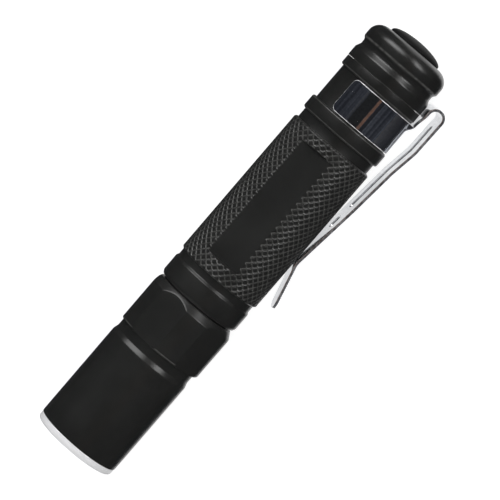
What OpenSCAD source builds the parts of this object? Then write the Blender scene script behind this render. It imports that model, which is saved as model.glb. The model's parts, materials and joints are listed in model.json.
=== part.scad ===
// Pocket penlight for one slim cell, lying along X with its beam towards +X.
// Every piece is drawn standing on the front face, with z running back to the tail and y
// towards the clip. lay() turns it down, so that z becomes -X, and rolls it onto its clip,
// as it lies on a table.

/* [Cell] */
// Diameter of the cell over its jacket
cell_d = 10.4; // [10:0.1:10.8]
// Length of the cell over its positive cap
cell_l = 44.5; // [40:0.5:50]
// Diameter of the positive cap
cell_cap_d = 3.8; // [3:0.1:5]
// Height of the positive cap
cell_cap_l = 1.1; // [0.8:0.1:1.5]
// Thickness of the jacket
cell_jacket_t = 0.15; // [0.1:0.01:0.25]
// Chamfer on the edges of the can
cell_edge = 0.4; // [0.2:0.05:0.6]
// Play round the cell in the tube
cell_play = 0.15; // [0.1:0.01:0.3]

/* [Tube] */
// Wall of the plain body over the cell bore
tube_wall = 1.65; // [1.5:0.05:2]
// Length of the front collar
collar_l = 3.25; // [2.5:0.05:4]
// Length of the collar's front chamfer
collar_edge_l = 0.45; // [0.2:0.05:0.8]
// Depth of the collar's front chamfer
collar_edge_drop = 0.25; // [0.1:0.05:0.4]
// Length of the ramp from the collar into its groove
collar_ramp_l = 0.35; // [0.2:0.05:0.6]
// Length of the groove in front of the knurl
groove_l = 1.15; // [0.8:0.05:1.6]
// Depth of that groove below the body
groove_drop = 0.23; // [0.1:0.01:0.4]
// Height of the knurl's crests over the body
knurl_rise = 0.12; // [0.05:0.01:0.2]
// Chamfer at both ends of the knurl
knurl_edge = 0.25; // [0.1:0.05:0.4]
// Plain length of knurl in front of the panels
panel_front_l = 2.3; // [1:0.1:4]
// Plain length of knurl behind the panels
panel_rear_l = 1.8; // [1:0.1:4]
// Depth of the flat panels below the knurl's crests
panel_depth = 0.54; // [0.3:0.02:0.8]
// Angle of the first panel from the side a quarter turn before the clip
panel_angle = -23.6; // [-90:0.1:90]
// Number of panels round the tube
panels = 2; // [1:1:3]
// Length of the neck behind the knurl
rear_neck_l = 1.65; // [1.2:0.05:2.2]
// Depth of that neck below the body
rear_neck_drop = 0.37; // [0.2:0.01:0.5]
// Length of the flange in front of the clip
flange_l = 2.35; // [1.8:0.05:3]
// Height of the flange over the body
flange_rise = 0.05; // [0.02:0.01:0.1]
// Chamfer on the flange
flange_edge = 0.2; // [0.1:0.05:0.3]
// Length of the groove that holds the clip's band
clip_groove_l = 6.1; // [5.9:0.1:7]
// Depth of the clip groove below the body
clip_groove_drop = 0.5; // [0.3:0.02:0.55]
// Length of the end collar behind the clip
end_collar_l = 1.65; // [1.2:0.05:2.2]
// Depth of the end collar below the body
end_collar_drop = 0.05; // [0.02:0.01:0.1]

/* [Screwed joints] */
// Length of the threaded nose in front of the collar
nose_l = 5.25; // [4.5:0.05:5.5]
// Wall of the nose over the cell bore
nose_wall = 0.6; // [0.55:0.01:0.7]
// Running clearance of the screwed fits
thread_clear = 0.05; // [0.03:0.01:0.08]
// Length of the plain land that carries the head's seal
seal_land_l = 1.45; // [1.2:0.05:1.8]
// Height of that land over the thread
seal_land_rise = 0.2; // [0.15:0.01:0.25]
// Diameter of the seals' cord
seal_cord = 0.5; // [0.4:0.02:0.55]
// Room left round a seated seal
seal_clear = 0.03; // [0.02:0.01:0.05]
// Gap between the head and the collar
head_seam = 0.35; // [0.2:0.05:0.5]
// Gap between the tube and the tail cap
tail_seam = 0.05; // [0.03:0.01:0.1]

/* [Head] */
// Length of the bright front ring
bezel_l = 1.15; // [1:0.05:1.5]
// Step of the front ring below the barrel
bezel_drop = 0.05; // [0.02:0.01:0.1]
// Radius on the front ring's outer edge
bezel_round = 0.5; // [0.2:0.05:0.6]
// Thickness of the lip in front of the lens
bezel_lip_t = 0.9; // [0.7:0.05:1]
// Width of the lip over the lens
bezel_lip_w = 0.65; // [0.4:0.05:0.8]
// Chamfer on the lip's inner edge
bezel_flare = 0.3; // [0.1:0.05:0.4]
// Length of the front ring's threaded sleeve
bezel_sleeve_l = 2.85; // [2.5:0.05:3.2]
// Wall of that sleeve
bezel_sleeve_wall = 0.4; // [0.3:0.02:0.5]
// Wall of the head round the sleeve
front_wall = 0.5; // [0.4:0.02:0.6]
// Length of the plain barrel
barrel_l = 16.25; // [14.5:0.25:18]
// Length of the ramp behind the barrel
barrel_ramp_l = 0.8; // [0.5:0.05:1.2]
// Depth of the head's neck below the body
neck_drop = 0.25; // [0.1:0.01:0.4]
// Length of the head's neck
neck_l = 1.45; // [1:0.05:2]
// Length of the flat-sided section
grip_l = 7.75; // [7:0.05:9]
// Height of its lands over the body
grip_rise = 0.33; // [0.2:0.01:0.4]
// Number of its flats
flats = 5; // [4:1:6]
// Depth of its flats below the body
flat_drop = 0.13; // [0:0.01:0.2]
// Chamfer on its front edge
grip_edge = 0.25; // [0.1:0.05:0.4]
// Length of the cone behind it
grip_cone_l = 0.9; // [0.6:0.05:1.2]
// Depth of the cone's small end below the body
grip_end_drop = 0.37; // [0.2:0.01:0.4]
// Step of the head's bore over the cell bore
head_bore_step = 0.3; // [0.2:0.05:0.4]

/* [Optics] */
// Thickness of the lens
lens_t = 1.2; // [1:0.05:1.5]
// Play round the lens and the reflector's rim
lens_play = 0.05; // [0.03:0.01:0.1]
// Diameter of the lens seal's cord
lens_seal_cord = 0.8; // [0.7:0.02:1]
// Width of the reflector's rim
reflector_rim_w = 0.8; // [0.6:0.05:1]
// Thickness of the reflector's rim
reflector_rim_t = 0.7; // [0.5:0.05:1]
// Diameter of the reflector's rear hole
reflector_hole_d = 3.5; // [3.2:0.1:4]
// Wall of the reflector round its rear hole
reflector_wall = 1.4; // [1:0.1:1.8]
// Play round the reflector's body
reflector_play = 0.1; // [0.05:0.01:0.2]
// Depth of the focus behind the rear hole
led_sink = 0.1; // [0.05:0.01:0.2]
// Thickness of the centring ring
spacer_t = 0.9; // [0.85:0.05:1.2]
// Diameter of the centring ring
spacer_d = 7.4; // [6.5:0.1:8]
// Side of the emitter's package
led_w = 3.45; // [3:0.05:3.6]
// Room round the package in the centring ring
led_play = 0.1; // [0.05:0.01:0.2]
// Diameter of the emitter's dome
led_dome_d = 2.5; // [2:0.1:2.8]
// Thickness of the emitter's board
led_board_t = 1; // [0.8:0.05:1.6]

/* [Pill and driver] */
// Play of the pill and the emitter's board in the head
pill_play = 0.05; // [0.03:0.01:0.08]
// Thickness of the pill's front plate
pill_plate_t = 2; // [1.5:0.1:2.5]
// Depth of the pill's cavity
pill_cavity_l = 3.6; // [3:0.1:4.2]
// Wall of the pill's cavity
pill_wall = 0.7; // [0.6:0.02:0.8]
// Width of the driver's seat in the pill
driver_seat_w = 0.3; // [0.2:0.02:0.4]
// Play of the driver in its seat
driver_play = 0.05; // [0.03:0.01:0.1]
// Thickness of the driver's board
driver_t = 1; // [0.8:0.05:1.2]
// Height of the pill's rim behind the driver
pill_rim_l = 0.2; // [0.1:0.02:0.4]
// Diameter of the driver's contact
contact_d = 4; // [3:0.1:5]
// Height of the driver's contact
contact_l = 1; // [0.8:0.05:1.4]
// Diameter of the driver's coil
coil_d = 3.2; // [2.6:0.1:3.6]
// Height of the driver's coil
coil_h = 2.2; // [1.6:0.1:2.6]
// Side of the driver's chips
chip_w = 2; // [1.5:0.1:2.2]
// Height of the driver's chips
chip_h = 0.9; // [0.6:0.05:1.2]
// Diameter of the leads to the emitter
wire_d = 0.8; // [0.6:0.05:1]
// Room round a lead in the pill's plate
wire_play = 0.1; // [0.05:0.01:0.2]
// Distance of the leads from the axis
wire_reach = 3.9; // [3.7:0.05:4.1]

/* [Tail cap] */
// Length of the threaded spigot
spigot_l = 4.4; // [4:0.05:5]
// Step of the spigot over the cell bore
spigot_rise = 0.5; // [0.4:0.02:0.55]
// Wall of the spigot
spigot_wall = 0.95; // [0.9:0.01:1.05]
// Length of the tail cap's front ring
tail_ring_l = 1.65; // [1.2:0.05:2.2]
// Length of the ramp into the finger groove
tail_ramp_l = 0.8; // [0.5:0.05:1.2]
// Depth of the finger groove below the body
tail_groove_drop = 0.4; // [0.2:0.02:0.6]
// Length of the finger groove
tail_groove_l = 1; // [0.7:0.05:1.4]
// Length of the ring behind the finger groove
tail_top_l = 1.3; // [1:0.05:1.8]
// Height of the rounded shoulder
shoulder_h = 2.05; // [1.8:0.05:2.6]
// Flat land between the shoulder and the button's mouth
mouth_land = 0.05; // [0.03:0.01:0.2]

/* [Switch] */
// Thickness of the retaining ring
switch_ring_t = 0.8; // [0.6:0.05:1]
// Width of the retaining ring
switch_ring_w = 1.2; // [0.8:0.05:1.5]
// Play of the switch pieces in the spigot's bore
switch_play = 0.05; // [0.03:0.01:0.1]
// Thickness of the tail board
tail_board_t = 0.8; // [0.6:0.05:1]
// Length of the switch housing
housing_l = 5.6; // [5.2:0.1:6]
// Wall, floor and roof of the housing
housing_wall = 0.8; // [0.7:0.05:1]
// Diameter of the plunger
plunger_d = 3.8; // [3:0.1:4.2]
// Running clearance of the plunger
plunger_play = 0.06; // [0.03:0.01:0.1]
// Width of the plunger's flange
plunger_flange_w = 0.7; // [0.5:0.05:0.9]
// Thickness of the plunger's flange
plunger_flange_t = 0.7; // [0.5:0.05:0.9]
// Width of the contact blades
blade_w = 1.6; // [1:0.1:2]
// Thickness of the contact blades
blade_t = 0.3; // [0.2:0.02:0.4]
// Height of the contact blades over the housing's floor
blade_l = 1.4; // [1:0.1:1.8]
// Travel of the button
press = 1.2; // [0.8:0.05:1.4]
// Room left under the button at the end of its travel
press_spare = 0.7; // [0.5:0.05:0.9]

/* [Button] */
// Diameter of the rubber button
button_d = 8.94; // [8.6:0.02:9]
// Gap between the button and its mouth
button_gap = 0.13; // [0.08:0.01:0.2]
// Rise of the button's edge over the tail cap
button_edge_l = 0.15; // [0.05:0.01:0.3]
// Height of the dome over that edge
button_dome_h = 1.2; // [0.8:0.05:1.6]
// Thickness of the button's inner flange
button_flange_t = 0.7; // [0.5:0.05:0.9]
// Play of that flange in the tail cap
button_flange_play = 0.1; // [0.08:0.01:0.15]
// Wall of the button's skirt
button_wall = 0.9; // [0.7:0.05:1.1]

/* [Springs] */
// Length of the cell's spring as fitted
tail_spring_l = 3.4; // [3.2:0.1:4]
// Wire of the cell's spring
tail_wire_d = 0.5; // [0.4:0.02:0.55]
// Room between its large end and the retaining ring
tail_spring_room = 0.4; // [0.3:0.05:0.6]
// Width of its small end at the wire's centre
tail_spring_small_d = 4; // [3.4:0.1:4.4]
// Turns of the cell's spring
tail_spring_turns = 3; // [2:0.5:3]
// Wire of the switch's spring
switch_wire_d = 0.3; // [0.2:0.02:0.35]
// Width of the switch's spring at the wire's centre
switch_spring_d = 4; // [3.4:0.1:4.4]
// Turns of the switch's spring
switch_spring_turns = 3.5; // [2:0.5:3.5]

/* [Clip] */
// Thickness of the clip's sheet
clip_t = 0.42; // [0.35:0.01:0.5]
// Width of the clip's arm
clip_w = 5; // [4.4:0.1:5.4]
// Width of the arm at its heel
clip_heel_w = 3; // [2.6:0.1:3.4]
// Width of the arm at its tip
clip_tip_w = 2.6; // [2:0.1:3]
// Play of the band on its groove
clip_band_play = 0.05; // [0.03:0.01:0.1]
// Play of the band between the groove's walls
clip_side_play = 0.175; // [0.1:0.025:0.3]
// Angle that the band wraps
clip_wrap = 271.6; // [240:0.2:300]
// Radius on the band's corners
clip_corner = 0.6; // [0.3:0.05:1]
// Clearance of the inner leg over the body
clip_leg_clear = 0.25; // [0.15:0.01:0.4]
// Length of the step from the band to the inner leg
clip_step_l = 1.2; // [1:0.05:1.4]
// Height of the bend's centre over the tail cap's front edge
clip_bend_rise = 1.07; // [0.8:0.01:1.6]
// Radius of the bend at the middle of the sheet
clip_bend_r = 1.26; // [1:0.02:1.5]
// Length of the upper run of the arm
clip_crest_l = 5.9; // [5:0.1:7]
// Amount by which that run leans inwards
clip_crest_drop = 0.1; // [0:0.02:0.3]
// Length of the run from the crest to the knee
clip_knee_l = 4.4; // [3.6:0.1:5]
// Amount by which the knee lies inside the crest
clip_knee_drop = 0.7; // [0.4:0.02:0.8]
// Length of the run from the knee to the heel
clip_heel_l = 19.5; // [18:0.1:21]
// Clearance of the heel over the knurl
clip_heel_clear = 0.08; // [0.05:0.01:0.2]
// Length of the flared tip
clip_tip_l = 7.3; // [6:0.1:8]
// Rise of the flared tip over the heel
clip_tip_rise = 1.9; // [1.4:0.05:2.2]
// Radius of the arm's bends at the middle of the sheet
clip_arm_round = 5; // [3:0.1:8]
// Radius of the heel at the middle of the sheet
clip_heel_round = 3; // [2:0.1:6]
// Width of the slots in the arm
slot_w = 1.2; // [0.8:0.05:1.6]
// Length of the long slot
slot_long_l = 17.2; // [14:0.1:18]
// Length of the short slot
slot_short_l = 2.4; // [1.8:0.1:2.8]
// Strip of metal left between the slots
slot_bridge = 1.8; // [1.4:0.1:2.4]
// Distance of the long slot below the bend's centre
slot_top_l = 1.1; // [0.8:0.05:1.6]
// Gap at the flex line between the bend and the arm
flex_gap = 0.03; // [0.02:0.01:0.06]

/* [Hidden] */
$fn = 96;
// Overrun of the cutting shapes
over = 1;
// Broken edge on turned corners
edge = 0.08;
// Thickness of the cell's insulating washer and its gap round the cap
washer_t = 0.25;
washer_gap = 0.4;
// Sides of a spring's wire and rings in one turn
wire_sides = 6;
turn_rings = 8;
// Steps of the rounded stretches
arc_steps = 10;

// Radii of the tube and of what is turned with it
cell_r = cell_d / 2;
bore_r = cell_r + cell_play;
body_r = bore_r + tube_wall;
groove_r = body_r - groove_drop;
knurl_r = body_r + knurl_rise;
panel_r = knurl_r - panel_depth;
rear_neck_r = body_r - rear_neck_drop;
flange_r = body_r + flange_rise;
clip_groove_r = body_r - clip_groove_drop;
end_collar_r = body_r - end_collar_drop;
nose_r = bore_r + nose_wall;
land_r = nose_r + seal_land_rise;

// Radii of the head
head_thread_r = nose_r + thread_clear;
counter_r = land_r + thread_clear;
head_bore_r = bore_r + head_bore_step;
front_bore_r = body_r - front_wall;
neck_r = body_r - neck_drop;
grip_r = body_r + grip_rise;
flat_r = body_r - flat_drop;
grip_end_r = body_r - grip_end_drop;
bezel_r = body_r - bezel_drop;
sleeve_r = front_bore_r - thread_clear;
sleeve_bore_r = sleeve_r - bezel_sleeve_wall;
lens_r = sleeve_bore_r - lens_play;
aperture_r = sleeve_bore_r - bezel_lip_w;

// Reflector: a paraboloid whose focus lies led_sink behind the rear hole
bowl_r = lens_r - reflector_rim_w;
hole_r = reflector_hole_d / 2;
focal = (sqrt(led_sink * led_sink + hole_r * hole_r) - led_sink) / 2;
bowl_l = (bowl_r * bowl_r - hole_r * hole_r) / (4 * focal);
reflector_r = head_bore_r - reflector_play;

// Places along the head, from the front face back
lens_z = bezel_lip_t;
lens_seal_z = lens_z + lens_t;
reflector_z = lens_seal_z + lens_seal_cord;
spacer_z = reflector_z + bowl_l;
led_z = spacer_z + led_sink;
led_board_z = spacer_z + spacer_t;
pill_z = led_board_z + led_board_t;
cavity_z = pill_z + pill_plate_t;
driver_z = cavity_z + pill_cavity_l;
contact_z = driver_z + driver_t;
pill_end_z = contact_z + pill_rim_l;
sleeve_end_z = bezel_l + bezel_sleeve_l;
ramp_z = bezel_l + barrel_l;
neck_z = ramp_z + barrel_ramp_l;
grip_z = neck_z + neck_l;
cone_z = grip_z + grip_l;
head_end_z = cone_z + grip_cone_l;

// Places along the tube
collar_z = head_end_z + head_seam;
nose_z = collar_z - nose_l;
land_z = collar_z - seal_land_l;
collar_end_z = collar_z + collar_l;
groove_z = collar_end_z + collar_ramp_l;
knurl_z = groove_z + groove_l;
cell_z = contact_z + contact_l;
can_z = cell_z + cell_cap_l;
cell_end_z = cell_z + cell_l;
tail_board_z = cell_end_z + tail_spring_l;
switch_ring_z = tail_board_z - switch_ring_t;
spigot_z = switch_ring_z;
tail_z = spigot_z + spigot_l;
tube_end_z = tail_z - tail_seam;
end_collar_z = tube_end_z - end_collar_l;
clip_groove_z = end_collar_z - clip_groove_l;
flange_z = clip_groove_z - flange_l;
knurl_end_z = flange_z - rear_neck_l;
tail_bore_z = spigot_z - tail_seam;

// Seals in their grooves
head_seal_r = counter_r - seal_clear - seal_cord / 2;
head_seal_z = collar_z - seal_land_l / 2;
head_root_r = head_seal_r - seal_cord / 2 - seal_clear;
seal_half = seal_cord / 2 + seal_clear;
spigot_r = bore_r + spigot_rise;
tail_bore_r = spigot_r + thread_clear;
tail_seal_r = tail_bore_r - seal_clear - seal_cord / 2;
tail_seal_z = tail_z - seal_cord;
tail_root_r = tail_seal_r - seal_cord / 2 - seal_clear;

// Places and radii in the tail cap
switch_bore_r = spigot_r - spigot_wall;
switch_r = switch_bore_r - switch_play;
housing_z = tail_board_z + tail_board_t;
housing_end_z = housing_z + housing_l;
floor_z = housing_z + housing_wall;
roof_z = housing_end_z - housing_wall;
tail_ramp_z = tail_z + tail_ring_l;
tail_groove_z = tail_ramp_z + tail_ramp_l;
tail_top_z = tail_groove_z + tail_groove_l;
shoulder_z = tail_top_z + tail_top_l;
tail_end_z = shoulder_z + shoulder_h;
tail_groove_r = body_r - tail_groove_drop;
button_r = button_d / 2;
mouth_r = button_r + button_gap;
shoulder_r = mouth_r + mouth_land;
plunger_r = plunger_d / 2;
plunger_flange_z = roof_z - plunger_play - plunger_flange_t;
button_z = housing_end_z + press + press_spare;
button_skirt_z = button_z + button_flange_t;
lip_z = button_skirt_z + button_flange_play;
button_edge_z = tail_end_z + button_edge_l;
button_flange_r = switch_bore_r - button_flange_play;

// Clip: the band lies in its groove, and the strip's path runs in the plane of the arm,
// as points of distance from the axis and place along it
band_r = clip_groove_r + clip_band_play;
band_z = clip_groove_z + clip_side_play;
band_l = clip_groove_l - 2 * clip_side_play;
band_end_z = band_z + band_l;
half_t = clip_t / 2;
leg_r = body_r + clip_leg_clear + half_t;
bend_z = tail_z + clip_bend_rise;
bend_r = leg_r + clip_bend_r;
flex_z = bend_z + clip_bend_r;
arm_r = bend_r + clip_bend_r;
crest = [arm_r - clip_crest_drop, bend_z - clip_crest_l];
knee = [crest.x - clip_knee_drop, crest.y - clip_knee_l];
heel = [knurl_r + clip_heel_clear + half_t, knee.y - clip_heel_l];
tip = [heel.x + clip_tip_rise, heel.y - clip_tip_l];
slot_z = bend_z - slot_top_l - slot_long_l;
short_slot_z = slot_z - slot_bridge - slot_short_l;
flex_angle = (half_t + flex_gap) / clip_bend_r * 180 / PI;

// Roll at which the tube and the arm's lower edge both touch the table
arm_corner = [arm_r + half_t, clip_w / 2];
lie_angle = 90 - acos(body_r / norm(arm_corner)) - atan2(arm_corner.y, arm_corner.x);

// Points of an arc round a centre, from one angle to another
function arc(centre, r, from, to) =
    [for (i = [0 : arc_steps]) let (a = from + (to - from) * i / arc_steps)
        centre + r * [cos(a), sin(a)]];

// A length of one along a vector
function unit(v) = v / norm(v);

// Arc of radius r that rounds the corner b of the path a, b, c
function rounded(a, b, c, r) =
    let (
        u = unit(a - b),
        v = unit(c - b),
        half = acos(u * v) / 2,
        centre = b + unit(u + v) * r / sin(half),
        p = b + u * r / tan(half) - centre,
        q = b + v * r / tan(half) - centre,
        from = atan2(p.y, p.x),
        turn = (atan2(q.y, q.x) - from + 540) % 360 - 180
    )
    arc(centre, r, from, from + turn);

// Path moved sideways by d, each point along the normal of its neighbours
function shifted(path, d) =
    [for (i = [0 : len(path) - 1])
        let (t = unit(path[min(i + 1, len(path) - 1)] - path[max(i - 1, 0)]))
        path[i] + d * [-t.y, t.x]];

// A list read from its end to its start
function reversed(list) = [for (i = [len(list) - 1 : -1 : 0]) list[i]];

// Outline of a sheet of thickness clip_t that follows a path
function sheet(path) = concat(shifted(path, half_t), reversed(shifted(path, -half_t)));

// Centre line of a coil that narrows from r1 to r2 as it climbs from z1 to z2
function coil(r1, r2, z1, z2, turns) =
    let (n = turns * turn_rings)
    [for (i = [0 : n])
        let (s = i / n, a = 360 * turns * s, r = r1 + (r2 - r1) * s)
        [r * cos(a), r * sin(a), z1 + (z2 - z1) * s]];

// Rings of a round wire that follows a centre line
function wire_rings(path, d) =
    [for (i = [0 : len(path) - 1])
        let (
            t = unit(path[min(i + 1, len(path) - 1)] - path[max(i - 1, 0)]),
            side = [path[i].x, path[i].y, 0],
            u = unit(side - (side * t) * t),
            v = cross(t, u)
        )
        for (k = [0 : wire_sides - 1])
            let (a = 360 * k / wire_sides)
            path[i] + d / 2 * (cos(a) * u + sin(a) * v)];

// Least distance between points of a path that lie half a turn or more apart, less the wire
function least_gap(path, d) =
    min([for (i = [0 : len(path) - 1])
        for (j = [i + turn_rings / 2 : 1 : len(path) - 1]) norm(path[i] - path[j])]) - d;

tail_spring_r = switch_r - switch_ring_w - tail_spring_room - tail_wire_d / 2;
tail_coil = coil(
    tail_spring_small_d / 2,
    tail_spring_r,
    cell_end_z + tail_wire_d / 2,
    tail_board_z - tail_wire_d / 2,
    tail_spring_turns
);
switch_coil = coil(
    switch_spring_d / 2,
    switch_spring_d / 2,
    floor_z + switch_wire_d / 2,
    plunger_flange_z - switch_wire_d / 2,
    switch_spring_turns
);
echo(tail_spring_least_gap = least_gap(tail_coil, tail_wire_d));
echo(switch_spring_least_gap = least_gap(switch_coil, switch_wire_d));

// Lays a standing piece down along X and rolls it onto the clip
module lay() {
    rotate([-lie_angle, 0, 0]) rotate([0, -90, 0]) children();
}

// Solid turned from an outline of radius and place along the axis
module turned(outline) {
    lay() rotate_extrude() polygon(outline);
}

// Tube with a bore between two places along the axis
module sleeve(outer, inner, z, end_z) {
    turned([[inner, z], [outer, z], [outer, end_z], [inner, end_z]]);
}

// Disc between two places along the axis, with broken edges
module disc(r, z, end_z) {
    turned([
        [0, z], [r - edge, z], [r, z + edge],
        [r, end_z - edge], [r - edge, end_z], [0, end_z]
    ]);
}

// Round seal of a given cord
module o_ring(r, z, cord) {
    lay() translate([0, 0, z]) rotate_extrude() translate([r, 0]) circle(d = cord);
}

// Round wire along a centre line, closed at both ends
module wire(path, d) {
    points = wire_rings(path, d);
    rings = len(path);
    walls = [for (i = [0 : rings - 2])
        for (k = [0 : wire_sides - 1])
            let (
                a = i * wire_sides + k,
                b = i * wire_sides + (k + 1) % wire_sides
            )
            each [[a, b, b + wire_sides], [a, b + wire_sides, a + wire_sides]]];
    first = [for (k = [1 : wire_sides - 2]) [0, k + 1, k]];
    top = (rings - 1) * wire_sides;
    last = [for (k = [1 : wire_sides - 2]) [top, top + k, top + k + 1]];
    faces = [for (f = concat(walls, first, last)) [f[0], f[2], f[1]]];
    lay() polyhedron(points, faces);
}

// Flat strip of the clip, as wide as w, from the outline of its sheet
module strip(outline, w) {
    lay() rotate([90, 0, 90]) linear_extrude(w, center = true) polygon(outline);
}

// Plan of the clip, seen from outside, carried through its whole depth
module through_clip() {
    depth = tip.x + arm_r;
    lay() translate([0, depth, 0]) rotate([90, 0, 0]) linear_extrude(depth) children();
}

// Plan of a slot with round ends
module slot_plan(z, l) {
    translate([-slot_w / 2, z + slot_w / 2]) square([slot_w, l - slot_w]);
    translate([0, z + slot_w / 2]) circle(d = slot_w);
    translate([0, z + l - slot_w / 2]) circle(d = slot_w);
}

module bezel_ring() {
    round_centre = [bezel_r - bezel_round, bezel_round];
    color("silver") turned(concat(
        [[aperture_r + bezel_flare, 0]],
        arc(round_centre, bezel_round, -90, 0),
        [
            [bezel_r, bezel_l], [sleeve_r, bezel_l], [sleeve_r, sleeve_end_z],
            [sleeve_bore_r, sleeve_end_z], [sleeve_bore_r, lens_z],
            [aperture_r, lens_z], [aperture_r, bezel_flare]
        ]
    ));
}

module lens() {
    color("lightcyan") disc(lens_r, lens_z, lens_seal_z);
}

module lens_seal() {
    color("dimgray") o_ring(
        lens_r - lens_seal_cord / 2,
        lens_seal_z + lens_seal_cord / 2,
        lens_seal_cord
    );
}

module reflector() {
    bowl = [for (i = [0 : 2 * arc_steps])
        let (r = bowl_r + (hole_r - bowl_r) * i / (2 * arc_steps))
        [r, reflector_z + (bowl_r * bowl_r - r * r) / (4 * focal)]];
    rim_z = reflector_z + reflector_rim_t;
    waist_z = rim_z + reflector_rim_t;
    color("gainsboro") turned(concat(
        bowl,
        [
            [hole_r + reflector_wall, spacer_z], [reflector_r, waist_z],
            [reflector_r, rim_z], [lens_r, rim_z], [lens_r, reflector_z]
        ]
    ));
}

module led_spacer() {
    side = led_w + 2 * led_play;
    color("white") difference() {
        sleeve(spacer_d / 2, hole_r, spacer_z, led_board_z);
        lay() translate([-side / 2, -side / 2, spacer_z - over])
            cube([side, side, spacer_t + 2 * over]);
    }
}

module led_dome() {
    r = led_dome_d / 2;
    color("khaki") turned(concat([[0, led_z]], arc([0, led_z], r, -90, 0)));
}

module led_package() {
    color("ivory") lay() translate([-led_w / 2, -led_w / 2, led_z])
        cube([led_w, led_w, led_board_z - led_z]);
}

module led_board() {
    color("whitesmoke") disc(head_bore_r - reflector_play, led_board_z, pill_z);
}

module led_pill() {
    pill_r = head_bore_r - pill_play;
    cavity_r = pill_r - pill_wall;
    seat_r = cavity_r + driver_seat_w;
    color("goldenrod") difference() {
        turned([
            [0, pill_z], [pill_r, pill_z], [pill_r, pill_end_z], [seat_r, pill_end_z],
            [seat_r, driver_z], [cavity_r, driver_z], [cavity_r, cavity_z], [0, cavity_z]
        ]);
        for (side = [-1, 1])
            lay() translate([0, side * wire_reach, pill_z - over])
                cylinder(d = wire_d + 2 * wire_play, h = pill_plate_t + 2 * over);
    }
}

module led_wires() {
    for (side = [-1, 1])
        color(side < 0 ? "firebrick" : "black")
            lay() translate([0, side * wire_reach, pill_z])
                cylinder(d = wire_d, h = driver_z - pill_z);
}

module driver_board() {
    seat_r = head_bore_r - pill_play - pill_wall + driver_seat_w;
    color("darkgreen") disc(seat_r - driver_play, driver_z, contact_z);
}

module driver_coil() {
    color("saddlebrown") disc(coil_d / 2, driver_z - coil_h, driver_z);
}

module driver_chips() {
    reach = coil_d / 2 + chip_w / 2;
    for (side = [-1, 1])
        color("black") lay()
            translate([side * reach - chip_w / 2, -chip_w / 2, driver_z - chip_h])
                cube([chip_w, chip_w, chip_h]);
}

module contact_button() {
    color("gold") disc(contact_d / 2, contact_z, cell_z);
}

module head_shell() {
    reach = 2 * grip_r;
    color([0.07, 0.07, 0.07]) difference() {
        turned([
            [front_bore_r, bezel_l], [body_r - edge, bezel_l], [body_r, bezel_l + edge],
            [body_r, ramp_z], [neck_r, neck_z], [neck_r, grip_z],
            [grip_r - grip_edge, grip_z], [grip_r, grip_z + grip_edge], [grip_r, cone_z],
            [grip_end_r, head_end_z], [counter_r, head_end_z],
            [counter_r, land_z], [head_thread_r, land_z],
            [head_thread_r, nose_z - thread_clear], [head_bore_r, nose_z - thread_clear],
            [head_bore_r, sleeve_end_z + edge], [front_bore_r, sleeve_end_z + edge]
        ]);
        for (k = [0 : flats - 1])
            lay() rotate([0, 0, 180 + 360 * k / flats])
                translate([flat_r, -reach / 2, grip_z - thread_clear])
                    cube([reach, reach, head_end_z - grip_z + over]);
    }
}

module head_o_ring() {
    color("dimgray") o_ring(head_seal_r, head_seal_z, seal_cord);
}

module body_tube() {
    reach = 2 * knurl_r;
    panel_z = knurl_z + panel_front_l;
    panel_end_z = knurl_end_z - panel_rear_l;
    color([0.08, 0.08, 0.08]) difference() {
        turned([
            [bore_r, nose_z], [nose_r - edge, nose_z], [nose_r, nose_z + edge],
            [nose_r, land_z], [land_r, land_z], [land_r, head_seal_z - seal_half],
            [head_root_r, head_seal_z - seal_half], [head_root_r, head_seal_z + seal_half],
            [land_r, head_seal_z + seal_half], [land_r, collar_z],
            [body_r - collar_edge_drop, collar_z], [body_r, collar_z + collar_edge_l],
            [body_r, collar_end_z], [groove_r, groove_z], [groove_r, knurl_z],
            [knurl_r - knurl_edge, knurl_z], [knurl_r, knurl_z + knurl_edge],
            [knurl_r, knurl_end_z - knurl_edge], [knurl_r - knurl_edge, knurl_end_z],
            [rear_neck_r, knurl_end_z], [rear_neck_r, flange_z],
            [flange_r - flange_edge, flange_z], [flange_r, flange_z + flange_edge],
            [flange_r, clip_groove_z - flange_edge], [flange_r - flange_edge, clip_groove_z],
            [clip_groove_r, clip_groove_z], [clip_groove_r, end_collar_z],
            [end_collar_r - flange_edge, end_collar_z], [end_collar_r, end_collar_z + flange_edge],
            [end_collar_r, tube_end_z - edge], [end_collar_r - edge, tube_end_z],
            [tail_bore_r, tube_end_z], [tail_bore_r, tail_bore_z], [bore_r, tail_bore_z]
        ]);
        for (k = [0 : panels - 1])
            lay() rotate([0, 0, panel_angle + 360 * k / panels])
                translate([panel_r, -reach / 2, panel_z])
                    cube([reach, reach, panel_end_z - panel_z]);
    }
}

module battery_can() {
    r = cell_r - cell_jacket_t;
    color("lightslategray") difference() {
        turned([
            [0, can_z], [r - cell_edge, can_z], [r, can_z + cell_edge],
            [r, cell_end_z - cell_edge], [r - cell_edge, cell_end_z], [0, cell_end_z]
        ]);
        sleeve(r - cell_edge, cell_cap_d / 2 + washer_gap, can_z - over, can_z + washer_t);
    }
}

module battery_jacket() {
    color("slateblue") sleeve(
        cell_r,
        cell_r - cell_jacket_t,
        can_z + cell_edge,
        cell_end_z - cell_edge
    );
}

module battery_cap() {
    r = cell_cap_d / 2;
    color("silver") turned([
        [0, cell_z], [r - edge, cell_z], [r, cell_z + edge], [r, can_z], [0, can_z]
    ]);
}

module battery_washer() {
    color("white") sleeve(
        cell_r - cell_jacket_t - cell_edge,
        cell_cap_d / 2 + washer_gap,
        can_z,
        can_z + washer_t
    );
}

module tail_o_ring() {
    color("dimgray") o_ring(tail_seal_r, tail_seal_z, seal_cord);
}

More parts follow.
